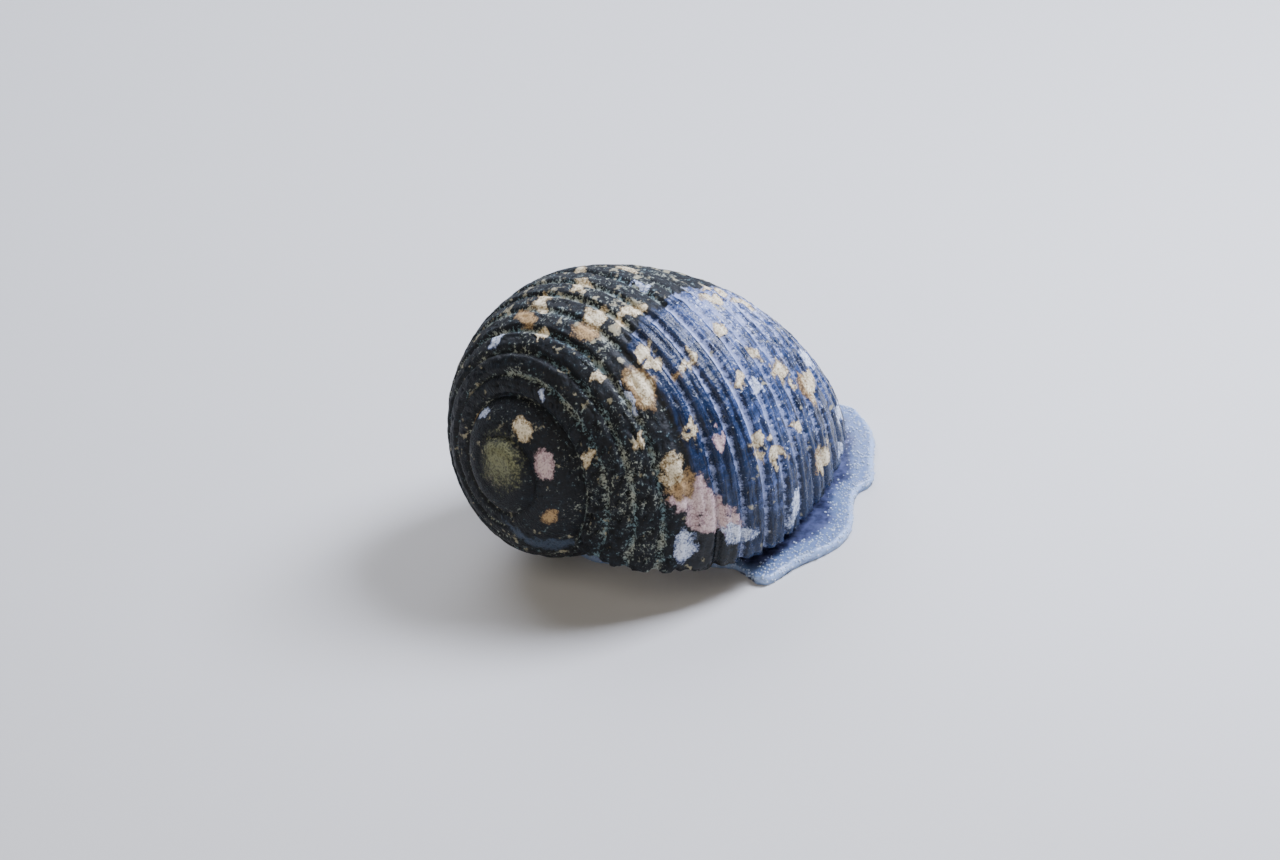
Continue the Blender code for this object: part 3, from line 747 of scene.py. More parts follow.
@dataclass(frozen=True)
class Mark:
    """One pale mark on the shell, placed on the coil.

    Places are degrees back from the lip and millimetres along the lip from the suture.
    """

    tint: Tint
    back: float
    reach: float
    half_back: float
    half_reach: float
    slant: float = 0.0

    def field(self, back: Points, reach: Points) -> Points:
        """How far into the mark each place lies, from 0 at its edge to 1 at its middle."""
        along = (back - self.back) / self.half_back
        across = (reach - self.reach - self.slant * (back - self.back)) / self.half_reach
        return np.clip(1.2 - np.hypot(along, across) ** 1.5 * 0.66, 0.0, 1.0)


# Each mark's place back and along the lip, its half sizes the same ways, and its slant. The white marks at 66.7 and
# 92.5 degrees back are painted highlights.
MARK_ROWS = {
    Tint.WHITE: (
        (8.7, 5.45, 6.0, 0.55), (9.0, 8.0, 3.8, 0.65, -0.15), (66.7, 4.4, 6.0, 0.16), (144.4, 3.75, 2.6, 0.5),
        (109.0, 0.9, 2.4, 0.45), (6.8, 11.6, 4.0, 0.5, 0.05), (44.0, 11.1, 1.8, 0.55), (5.0, 17.5, 2.6, 0.7),
        (41.5, 17.9, 4.0, 0.6), (13.5, 18.9, 4.4, 0.7), (92.5, 9.95, 1.6, 0.3), (518.0, 4.2, 9.0, 0.8),
    ),
    Tint.CREAM: (
        (38.0, 5.05, 5.0, 0.6, -0.03), (45.0, 6.5, 2.0, 0.5), (68.0, 5.35, 5.4, 0.5), (69.6, 6.55, 1.8, 0.6),
        (74.3, 6.6, 2.0, 0.65), (53.0, 3.9, 1.8, 0.55), (83.2, 3.85, 1.5, 0.5), (114.5, 4.1, 1.8, 0.5),
        (97.6, 6.45, 3.6, 0.65), (122.8, 6.4, 4.0, 0.65), (60.0, 0.8, 3.6, 0.5), (63.2, 8.2, 2.4, 0.5),
        (88.5, 7.5, 2.2, 0.8), (86.0, 8.2, 1.6, 0.5), (110.6, 8.1, 3.0, 0.6), (31.0, 10.1, 1.5, 0.75, 0.1),
        (25.5, 10.9, 1.6, 0.7, -0.12), (51.0, 10.3, 1.8, 0.5), (65.0, 11.45, 2.2, 0.55), (52.7, 12.5, 2.0, 0.5),
        (30.2, 12.9, 1.6, 0.65, 0.1), (26.0, 13.4, 1.8, 0.45, -0.1), (44.0, 13.8, 4.0, 0.7), (12.0, 15.0, 3.6, 0.8),
        (75.0, 13.4, 2.4, 0.9, -0.2), (80.0, 14.4, 2.4, 0.8, -0.2), (34.0, 16.3, 4.6, 0.9),
        (71.5, 16.0, 3.6, 0.8, -0.15), (118.0, 9.9, 3.0, 0.5), (102.0, 11.3, 3.0, 0.5), (96.0, 17.5, 4.0, 0.7),
        (140.0, 11.0, 4.0, 0.6), (130.0, 14.6, 4.0, 0.7), (165.0, 16.8, 4.0, 0.8), (186.0, 9.0, 3.6, 0.6),
        (222.0, 15.4, 4.4, 0.8), (240.0, 7.8, 4.0, 0.6), (178.0, 6.0, 3.4, 0.6), (459.0, 2.2, 13.0, 1.15),
    ),
    Tint.ORANGE: (
        (32.0, 5.4, 5.0, 0.7, -0.05), (67.8, 5.3, 7.0, 0.75), (98.0, 5.35, 4.4, 0.75), (128.0, 5.1, 5.0, 0.6, 0.08),
        (61.6, 7.45, 1.8, 0.35), (12.8, 14.4, 3.4, 0.6), (34.0, 15.6, 4.4, 0.6), (152.0, 13.6, 4.0, 0.7),
        (205.0, 12.2, 4.0, 0.8), (361.0, 2.45, 9.0, 0.9),
    ),
    Tint.ROSE: (
        (26.0, 5.85, 5.6, 0.95, -0.09), (19.5, 6.5, 5.4, 0.95, -0.11), (14.0, 7.2, 4.8, 0.85, -0.14),
        (38.6, 7.75, 2.0, 0.3), (417.0, 1.85, 14.0, 1.2),
    ),
    Tint.LILAC: (
        (322.0, 3.3, 16.0, 1.3, 0.15), (334.0, 4.8, 14.0, 1.2, 0.15),
    ),
}
MARKS = tuple(Mark(tint, *row) for tint, marks in MARK_ROWS.items() for row in marks)


@dataclass
class Whorls:
    """Geometry Nodes that wind the lip into whorls and raise its ribs, growth lines and pits."""

    coil: Coil
    rows_per_turn: int
    rows: int
    rib_height: float
    rib_wear: Span
    callus_fade: Span
    split_fade: Span = (0.19, 0.12)
    growth_mark: float = 0.23
    growth_mark_width: float = 0.006
    growth_mark_height: float = 0.07
    groove_depth: float = 0.1
    growth_line_height: float = 0.06
    pit_depth: float = 0.14

    def line(self, lips: Points, ways: Points, values: dict[str, Points]) -> bpy.types.Object:
        """The lip as loose points, with the way out of the shell and each named value at every point."""
        data = bpy.data.meshes.new("lip_line")
        data.from_pydata([tuple(point) for point in lips], [], [])
        layer = data.attributes.new("way", "FLOAT_VECTOR", "POINT")
        layer.data.foreach_set("vector", ways.astype(np.float32).ravel())
        for name, numbers in values.items():
            write_values(data, name, numbers)
        made = bpy.data.objects.new("whorls", data)
        bpy.context.scene.collection.objects.link(made)
        return made

    def tree(self) -> Tree:
        """The tree, which takes the lip's points and gives the open surface of the whorls."""
        labels = {name: "Float" for name in ("Suture Angle", "Growth Rate", "Rib Height", "Line Height", "Pit Depth")}
        counts = {name: "Int" for name in ("Rows", "Columns", "Rows Per Turn", "Suture Column")}
        tree, inputs = new_tree("whorls", {**labels, **counts, "Axis": "Vector", "Centre": "Vector"})
        index = add(tree, "GeometryNodeInputIndex").outputs[0]
        row = maths(tree, "FLOOR", maths(tree, "DIVIDE", maths(tree, "ADD", index, 0.5), inputs["Columns"]))
        column = maths(tree, "SUBTRACT", index, times(tree, row, inputs["Columns"]))
        turn = maths(tree, "DIVIDE", row, inputs["Rows Per Turn"])

        def sampled(field_socket: Socket, kind: str = "FLOAT") -> Socket:
            """A value of the lip's points, read at the grid's column."""
            source = {"Geometry": inputs["Geometry"], "Value": field_socket, "Index": column}
            return add(tree, "GeometryNodeSampleIndex", source, data_type=kind).outputs[0]

        def named(name: str, kind: str = "FLOAT") -> Socket:
            """A named value of the lip, read at the grid's column."""
            return sampled(add(tree, "GeometryNodeInputNamedAttribute", {"Name": name}, data_type=kind).outputs[0], kind)

        reach_at = named("reach")
        worn = ramp(tree, turn, self.rib_wear[0], sum(self.rib_wear))
        callus = times(tree, named("inner"), ramp(tree, turn, self.callus_fade[0], sum(self.callus_fade)))
        kept = maths(tree, "SUBTRACT", 1.0, maths(tree, "MAXIMUM", worn, callus))
        split = maths(tree, "SUBTRACT", 1.0, ramp(tree, turn, self.split_fade[0], sum(self.split_fade)))
        beads = add(tree, "ShaderNodeCombineXYZ", {"X": times(tree, turn, 45.0), "Y": reach_at})
        beads = add(tree, "ShaderNodeTexNoise", {"Vector": beads.outputs[0], "Scale": 1.0, "Detail": 3.0}).outputs[0]
        beads = maths(tree, "MULTIPLY_ADD", beads, 1.0, 0.45)
        rib = maths(tree, "SUBTRACT", times(tree, named("lift"), beads), times(tree, named("split"), split))
        eroded = times(tree, named("eroded"), maths(tree, "SUBTRACT", 1.0, ramp(tree, turn, 0.19, 0.26)))
        breaks = add(tree, "ShaderNodeCombineXYZ", {"X": times(tree, turn, 70.0), "Y": times(tree, reach_at, 0.9)})
        breaks = add(tree, "ShaderNodeTexNoise", {"Vector": breaks.outputs[0], "Scale": 1.0, "Detail": 3.0}).outputs[0]
        broken = maths(tree, "SUBTRACT", 1.0, times(tree, eroded, ramp(tree, breaks, 0.48, 0.6), 0.75))
        rib = times(tree, rib, kept, broken)
        dip = times(tree, maths(tree, "SUBTRACT", 1.0, named("lift")), kept, -self.groove_depth)
        strips = add(tree, "ShaderNodeCombineXYZ", {"X": times(tree, turn, 180.0), "Y": times(tree, reach_at, 0.3)})
        lines = add(tree, "ShaderNodeTexNoise", {"Vector": strips.outputs[0], "Scale": 1.0, "Detail": 3.0})
        lines = maths(tree, "SUBTRACT", lines.outputs[0], 0.55)
        spots = add(tree, "ShaderNodeCombineXYZ", {"X": times(tree, turn, 170.0), "Y": times(tree, reach_at, 3.0)})
        spots = add(tree, "ShaderNodeTexNoise", {"Vector": spots.outputs[0], "Scale": 1.0, "Detail": 2.0}).outputs[0]
        deeper = maths(tree, "MULTIPLY_ADD", eroded, 0.8, 1.0)
        pits = times(tree, ramp(tree, spots, 0.54, 0.72), inputs["Pit Depth"], deeper)
        away = maths(tree, "DIVIDE", maths(tree, "SUBTRACT", turn, self.growth_mark), self.growth_mark_width)
        mark = maths(tree, "EXPONENT", maths(tree, "MULTIPLY", times(tree, away, away), -1.0))
        height = maths(tree, "MULTIPLY_ADD", lines, inputs["Line Height"], times(tree, mark, self.growth_mark_height))
        height = times(tree, maths(tree, "SUBTRACT", maths(tree, "ADD", height, dip), pits), named("free"))
        height = maths(tree, "MULTIPLY_ADD", rib, inputs["Rib Height"], height)
        way = add(tree, "ShaderNodeVectorMath", {0: named("way", "FLOAT_VECTOR"), "Scale": height}, operation="SCALE")
        start = sampled(add(tree, "GeometryNodeInputPosition").outputs[0], "FLOAT_VECTOR")
        raised = add(tree, "ShaderNodeVectorMath", {0: start, 1: way.outputs[0]}, operation="ADD").outputs[0]
        angle = times(tree, turn, inputs["Suture Angle"])
        around = {"Vector": raised, "Center": inputs["Centre"], "Axis": inputs["Axis"], "Angle": angle}
        wound = add(tree, "ShaderNodeVectorRotate", around).outputs[0]
        shrink = maths(tree, "EXPONENT", times(tree, angle, inputs["Growth Rate"]))
        spoke = add(tree, "ShaderNodeVectorMath", {0: wound, 1: inputs["Centre"]}, operation="SUBTRACT").outputs[0]
        spoke = add(tree, "ShaderNodeVectorMath", {0: spoke, "Scale": shrink}, operation="SCALE").outputs[0]
        final = add(tree, "ShaderNodeVectorMath", {0: spoke, 1: inputs["Centre"]}, operation="ADD").outputs[0]

        grid = add(tree, "GeometryNodeMeshGrid", {"Vertices X": inputs["Rows"], "Vertices Y": inputs["Columns"]})
        surface = grid.outputs["Mesh"]
        shown = maths(tree, "SUBTRACT", 1.0, times(tree, maths(tree, "SUBTRACT", 1.0, named("lift")), kept))
        for name, value in (("turn", turn), ("reach", reach_at), ("lift", shown)):
            surface = add(
                tree,
                "GeometryNodeStoreNamedAttribute",
                {"Geometry": surface, "Name": name, "Value": value},
                data_type="FLOAT",
                domain="POINT",
            ).outputs[0]
        surface = add(tree, "GeometryNodeSetPosition", {"Geometry": surface, "Position": final}).outputs[0]
        past_turn = maths(tree, "GREATER_THAN", row, inputs["Rows Per Turn"])
        past_suture = maths(tree, "GREATER_THAN", column, inputs["Suture Column"])
        spare = times(tree, past_turn, past_suture)
        surface = add(tree, "GeometryNodeDeleteGeometry", {"Geometry": surface, "Selection": spare}).outputs[0]
        surface = add(tree, "GeometryNodeMergeByDistance", {"Geometry": surface, "Distance": 0.002}).outputs[0]
        close_tree(tree, surface, inputs["Material"])
        return tree

    def build(self, line: bpy.types.Object, suture_column: int, finish: bpy.types.Material) -> bpy.types.Object:
        """Winds the lip into whorls.

        Args:
            line: the lip's points, which become the whorls.
            suture_column: the point that the turn before meets.
            finish: the shell's material.

        Returns:
            The open surface, in millimetres.
        """
        values = {
            "Suture Angle": self.coil.suture_angle,
            "Growth Rate": -self.coil.rate,
            "Rib Height": self.rib_height,
            "Line Height": self.growth_line_height,
            "Pit Depth": self.pit_depth,
            "Rows": self.rows + 1,
            "Columns": len(line.data.vertices),
            "Rows Per Turn": self.rows_per_turn,
            "Suture Column": suture_column,
            "Axis": tuple(self.coil.axis),
            "Centre": tuple(self.coil.centre),
            "Material": finish,
        }
        grow(line, self.tree(), values)
        return line


@dataclass
class Shell:
    """The shell: ribbed outside, worn apex, smooth deck, aperture and chamber."""

    coil: Coil = field(default_factory=Coil)
    rib_spacing: float = 1.3
    rib_height: float = 0.2
    rib_wear: Span = (0.72, 0.4)
    rib_top: float = 0.5
    split_start: float = 6.2
    split_end: float = 16.0
    split_depth: float = 0.35
    split_width: float = 0.07
    seam_ease: float = 0.35
    samples_per_rib: int = 14
    rows_per_turn: int = 230
    turns: float = 2.6
    base_columns: int = 24
    callus_fade: Span = (0.66, 0.2)
    callus_fade_ribs: float = 2.0
    belly_edge: float = -1.5
    belly_height: float = 1.95
    callus_centre: Sizes = (-2.0, -0.9, 3.6)
    callus_radii: Sizes = (6.0, 5.7, 1.85)
    cover_centre: Sizes = (1.5, -2.2, 2.7)
    heart: Sizes = (-2.2, -1.2, 6.2)
    wall: float = 1.0
    thinnest_slant: float = 0.55
    chamber_around: int = 72
    chamber_down: int = 36
    chamber_smoothing: int = 8
    door_span: Span = (0.8, 2.3)
    door_bow: float = 4.4
    edge_insets: tuple[Span, ...] = ((-1.2, 0.3), (0.0, 0.35), (0.7, 0.95))
    door_top: float = 2.6
    khaki_centre: Sizes = (-8.6, -7.0, 7.6)
    khaki_radius: float = 1.75

    def columns(self) -> tuple[Points, dict[str, Points], int]:
        """The mesh's columns along the lip.

        Returns:
            Places on the lip, the values at each of them, and the suture's column.
        """
        places = np.linspace(math.pi, self.coil.front_end, 1600)
        steps = np.linalg.norm(np.diff(self.coil.lip(places), axis=0), axis=1)
        length = np.concatenate([[0.0], np.cumsum(steps)])
        at_suture = float(np.interp(math.pi - self.coil.suture_place, math.pi - places, length))
        stops, lifts, splits = [], [], []
        suture = 0
        for start, end in ((0.0, at_suture), (at_suture, length[-1])):
            count = round((end - start) / self.rib_spacing)
            if start > 0:
                suture = len(stops)
            for rib in range(count):
                for share in np.arange(self.samples_per_rib) / self.samples_per_rib:
                    stops.append(start + (end - start) * (rib + share) / count)
                    lifts.append(1.0 - float(smooth((abs(2 * share - 1) - self.rib_top) / (1 - self.rib_top))))
                    splits.append(math.exp(-(((share - 0.5) / self.split_width) ** 2)))
        stops.append(length[-1])
        lifts.append(0.0)
        splits.append(0.0)
        reach = np.array(stops)
        inner = smooth((reach - at_suture) / (self.callus_fade_ribs * self.rib_spacing))
        free = smooth(np.minimum(reach, np.abs(reach - at_suture)) / self.seam_ease)
        split = np.array(splits) * self.split_depth
        split *= smooth((reach - self.split_start) / 1.0) * smooth((self.split_end - reach) / 1.5)
        eroded = smooth((7.0 - reach) / 1.5)
        values = {"reach": reach, "lift": np.array(lifts), "split": split, "inner": inner, "free": free, "eroded": eroded}
        return np.interp(stops, length, places), values, suture

    def outer(self, finish: bpy.types.Material) -> tuple[bpy.types.Object, KDTree, Points, BVHTree]:
        """The outside with the aperture covered.

        Args:
            finish: the shell's material.

        Returns:
            The closed piece, a search of its coil's points, the turn, reach and lift there, and a tree of its walls.
        """
        places, values, suture = self.columns()
        base = self.coil.base_curve(self.base_columns)
        lips = np.vstack([self.coil.lip(places), base])
        ways = np.vstack([self.coil.normal(places), np.zeros_like(base)])
        past = values["reach"][-1] + np.arange(1, len(base) + 1) * 0.3
        ends = {"reach": past, "inner": np.ones(len(base)), "lift": np.ones(len(base))}
        values = {name: np.concatenate([v, ends.get(name, np.zeros(len(base)))]) for name, v in values.items()}
        rows = round(self.turns * self.rows_per_turn)
        whorls = Whorls(self.coil, self.rows_per_turn, rows, self.rib_height, self.rib_wear, self.callus_fade)
        shell = whorls.build(whorls.line(lips, ways, values), suture, finish)
        found = np.stack([self.read(shell.data, name) for name in ("turn", "reach", "lift")], axis=1)
        search = KDTree(len(found))
        for vertex in shell.data.vertices:
            search.insert(vertex.co, vertex.index)
        search.balance()
        mesh = bmesh.new()
        mesh.from_mesh(shell.data)
        open_edges = [edge for edge in mesh.edges if edge.is_boundary]
        old = [edge for edge in open_edges if min(found[vertex.index][0] for vertex in edge.verts) > 1.2]
        apex = np.mean([vertex.co for edge in old for vertex in edge.verts], axis=0)
        self.add_fan(mesh, old, apex + self.coil.axis * 0.05)
        tree = BVHTree.FromBMesh(mesh)
        self.add_fan(mesh, list(set(open_edges) - set(old)), np.array(self.cover_centre))
        finished(mesh).to_mesh(shell.data)
        mesh.free()
        return shell, search, found, tree

    @staticmethod
    def read(data: bpy.types.Mesh, name: str) -> Points:
        """The numbers stored at a mesh's vertices under a name."""
        numbers = np.empty(len(data.vertices), dtype=np.float32)
        data.attributes[name].data.foreach_get("value", numbers)
        return numbers.astype(float)

    @staticmethod
    def add_fan(mesh: bmesh.types.BMesh, edges: list[bmesh.types.BMEdge], centre: Points) -> None:
        """Closes a ring of edges with triangles to one new point."""
        middle = mesh.verts.new(centre)
        for edge in edges:
            mesh.faces.new((*edge.verts, middle))

    def chamber(self, tree: BVHTree) -> bmesh.types.BMesh:
        """Closed mesh of the space inside, a wall's thickness in from the outside that the tree holds."""
        around, down = self.chamber_around, self.chamber_down
        radii = np.zeros((down + 1, around))
        ways = np.zeros((down + 1, around, 3))
        for ring in range(down + 1):
            for spoke in range(around):
                way = direction(360 * spoke / around, 90 - 180 * ring / down)
                ways[ring, spoke] = way
                _, normal, _, distance = tree.ray_cast(Vector(self.heart), Vector(way))
                radii[ring, spoke] = distance - self.wall / max(abs(normal.dot(Vector(way))), self.thinnest_slant)
        for _ in range(self.chamber_smoothing):
            radii = np.minimum(radii, (np.roll(radii, 1, axis=1) + np.roll(radii, -1, axis=1) + 2 * radii) / 4)
            radii[1:-1] = np.minimum(radii[1:-1], (radii[2:] + radii[:-2] + 2 * radii[1:-1]) / 4)
        mesh = bmesh.new()
        heart = np.array(self.heart)
        rings = [
            [mesh.verts.new(heart + way * radius) for way, radius in zip(ways[ring], radii[ring])]
            for ring in range(1, down)
        ]
        join_rings(mesh, rings)
        cap_ring(mesh, rings[0], heart + ways[0, 0] * radii[0].min())
        cap_ring(mesh, rings[-1], heart + ways[down, 0] * radii[down].min())
        return finished(mesh)

    def door_outline(self, inset: float) -> Points:
        """Level outline of the aperture: the lip moved in by the inset, and the bowed edge of the deck."""
        places = np.linspace(*self.door_span, 90)
        outer = self.coil.lip(places)[:, :2] - inset * self.coil.outward(places)[:, :2]
        start, end = outer[-1], outer[0]
        inward = -self.coil.outward([math.pi / 2])[0][:2]
        shares = np.linspace(0, 1, 48)[1:-1]
        inner = [start + (end - start) * s + inward * self.door_bow * 4 * s * (1 - s) for s in shares]
        return np.vstack([outer, inner])

    def door(self, walls: BVHTree) -> bmesh.types.BMesh:
        """Closed mesh that fills the aperture, from below the rim up into the chamber."""
        mesh = bmesh.new()
        rings = []
        for height, inset in self.edge_insets:
            outline = self.door_outline(inset)
            rings.append([mesh.verts.new((x, y, self.coil.rim_height + height)) for x, y in outline])
        base = self.coil.rim_height + self.edge_insets[-1][0]
        top = self.coil.rim_height + self.door_top
        outline = self.door_outline(self.edge_insets[-1][1] + 0.1)
        upper = []
        for x, y in outline:
            hit, _, _, distance = walls.ray_cast(Vector((x, y, base)), Vector((0, 0, 1)))
            roof = base + distance - self.wall if hit else top
            upper.append(mesh.verts.new((x, y, max(min(top, roof), base + 0.05))))
        rings.append(upper)
        join_rings(mesh, rings)
        middle = outline.mean(axis=0)
        cap_ring(mesh, rings[0], np.array([*middle, rings[0][0].co.z]))
        cap_ring(mesh, rings[-1], np.array([*middle, top]))
        return finished(mesh)

    def build(self) -> bpy.types.Object:
        """The dressed shell as one piece."""
        finish = ShellFinish().build()
        shell, search, found, walls = self.outer(finish)
        shell.name = "shell_ribbed"
        below = block((-20, -20, -12), (self.belly_edge, 20, self.belly_height))
        combine(shell, piece("belly_cut", below, 1.0), Change.CUT)
        combine(shell, piece("callus", ellipsoid(self.callus_centre, self.callus_radii, 96, 48), 1.0), Change.JOIN)
        outside = bmesh.new()
        outside.from_mesh(shell.data)
        tree = BVHTree.FromBMesh(outside)
        outside.free()
        combine(shell, piece("chamber_cut", self.chamber(tree), 1.0), Change.CUT)
        combine(shell, piece("door_cut", self.door(walls), 1.0), Change.CUT)
        self.paint(shell.data, search, found)
        return complete(shell, finish)

    def paint(self, data: bpy.types.Mesh, search: KDTree, found: Points) -> None:
        """Stores where each vertex lies on the coil, and the markings there.

        Args:
            data: the cut mesh, in millimetres.
            search: the coil's points before it was cut.
            found: turn, reach and lift at each of those.
        """
        nearest = [search.find(vertex.co) for vertex in data.vertices]
        turn, reach, lift = found[[index for _, index, _ in nearest]].T
        distance = np.array([away for _, _, away in nearest])
        back = turn * math.degrees(self.coil.suture_angle)
        points = places_of(data)
        waves = drift(points, 1.1)
        speck = drift(points, 0.38)
        wavy_back = back + 4.0 * waves[:, 0] + 3.0 * speck[:, 0]
        wavy_reach = reach + 0.35 * waves[:, 1] + 0.3 * speck[:, 1]
        edge = 6.0 + 2.0 * smooth((28 - back) / 22)
        fresh = smooth((86.0 - wavy_back) / 6.0) * smooth((reach - edge) / 0.7 + 0.5)
        # This patch is painted sky sheen: a lighter haze high on the fresh growth.
        sheen_patch = np.exp(-(((back - 72) / 13) ** 2)) * smooth((reach - 9.5) / 2.0)
        wear = smooth((94 - back) / 26) * smooth((6.5 - reach) / 1.5) + 0.5 * smooth((back - 220) / 60)
        wear += smooth((back - 80) / 6) * (1 - 0.6 * smooth((back - 230) / 40)) * (0.55 + 0.45 * smooth((reach - 1) / 4))
        speckled_groove = np.exp(-(((reach - 1.5) / 0.35) ** 2)) * (back < 140)
        growth_line = np.exp(-(((back - 78.5 - 1.3 * reach + 4 * speck[:, 2]) / 0.9) ** 2)) * smooth((4.9 - reach) / 0.5)
        from_apex = smooth(np.linalg.norm(points - np.array(self.coil.centre), axis=1) - 1.5)
        khaki = 1.25 - np.linalg.norm(points + 0.25 * speck - np.array(self.khaki_centre), axis=1) / self.khaki_radius
        fields = {tint: np.zeros(len(back)) for tint in Tint}
        for mark in MARKS:
            fields[mark.tint] = np.maximum(fields[mark.tint], mark.field(wavy_back, wavy_reach))
        fields[Tint.KHAKI] = np.clip(khaki, 0.0, 1.0)
        values = {
            "turn": back,
            "reach": reach,
            "lift": lift,
            "inside": smooth((distance - 0.08) / 0.15) * from_apex,
            "fresh": fresh,
            "fleck": smooth((reach - 4.0) / 3.0) * smooth((back - 70) / 20) * (1 - 0.6 * smooth((back - 170) / 60)),
            # The pale value is painted sky sheen. It lightens the fresh growth towards its top and over the sheen
            # patch.
            "pale": 0.75 * smooth((reach - 7.5) / 3.0) * smooth((back - 8) / 20) + 0.7 * sheen_patch,
            "chalk": np.clip(wear + speckled_groove, 0.0, 1.0) + 0.9 * growth_line,
            **{tint.word: numbers for tint, numbers in fields.items()},
        }
        for name, numbers in values.items():
            if name in data.attributes:
                data.attributes.remove(data.attributes[name])
            write_values(data, name, numbers)


# The soft body


@dataclass
class Granules:
    """Geometry Nodes that scatter small grains over the margin of the foot."""

    density: float = 40.0
    size: float = 0.06
    seed: int = 5

    def tree(self) -> Tree:
        """The tree, which adds grains to a skin whose grit attribute says how thickly they lie."""
        tree, inputs = new_tree("margin_grains", {"Density": "Float", "Size": "Float", "Seed": "Int"})
        grit = add(tree, "GeometryNodeInputNamedAttribute", {"Name": "grit"}, data_type="FLOAT").outputs[0]
        spread = {
            "Mesh": inputs["Geometry"],
            "Density": times(tree, inputs["Density"], grit),
            "Seed": inputs["Seed"],
        }
        points = add(tree, "GeometryNodeDistributePointsOnFaces", spread).outputs["Points"]
        grain = add(tree, "GeometryNodeMeshIcoSphere", {"Radius": inputs["Size"], "Subdivisions": 1}).outputs["Mesh"]
        marked = {"Geometry": grain, "Name": "speck", "Value": 1.0}
        grain = add(tree, "GeometryNodeStoreNamedAttribute", marked, data_type="FLOAT", domain="POINT").outputs[0]
        scale = add(tree, "FunctionNodeRandomValue", {2: 0.35, 3: 1.15, "Seed": inputs["Seed"]}, data_type="FLOAT")
        placed = {"Points": points, "Instance": grain, "Scale": scale.outputs[1]}
        grains = add(tree, "GeometryNodeInstanceOnPoints", placed).outputs[0]
        together = add(tree, "GeometryNodeJoinGeometry")
        tree.links.new(grains, together.inputs[0])
        tree.links.new(inputs["Geometry"], together.inputs[0])
        close_tree(tree, together.outputs[0], inputs["Material"])
        return tree

    def build(self, skin: bpy.types.Object, finish: bpy.types.Material) -> None:
        """Adds the grains to a skin that is in millimetres."""
        grow(skin, self.tree(), {"Density": self.density, "Size": self.size, "Seed": self.seed, "Material": finish})


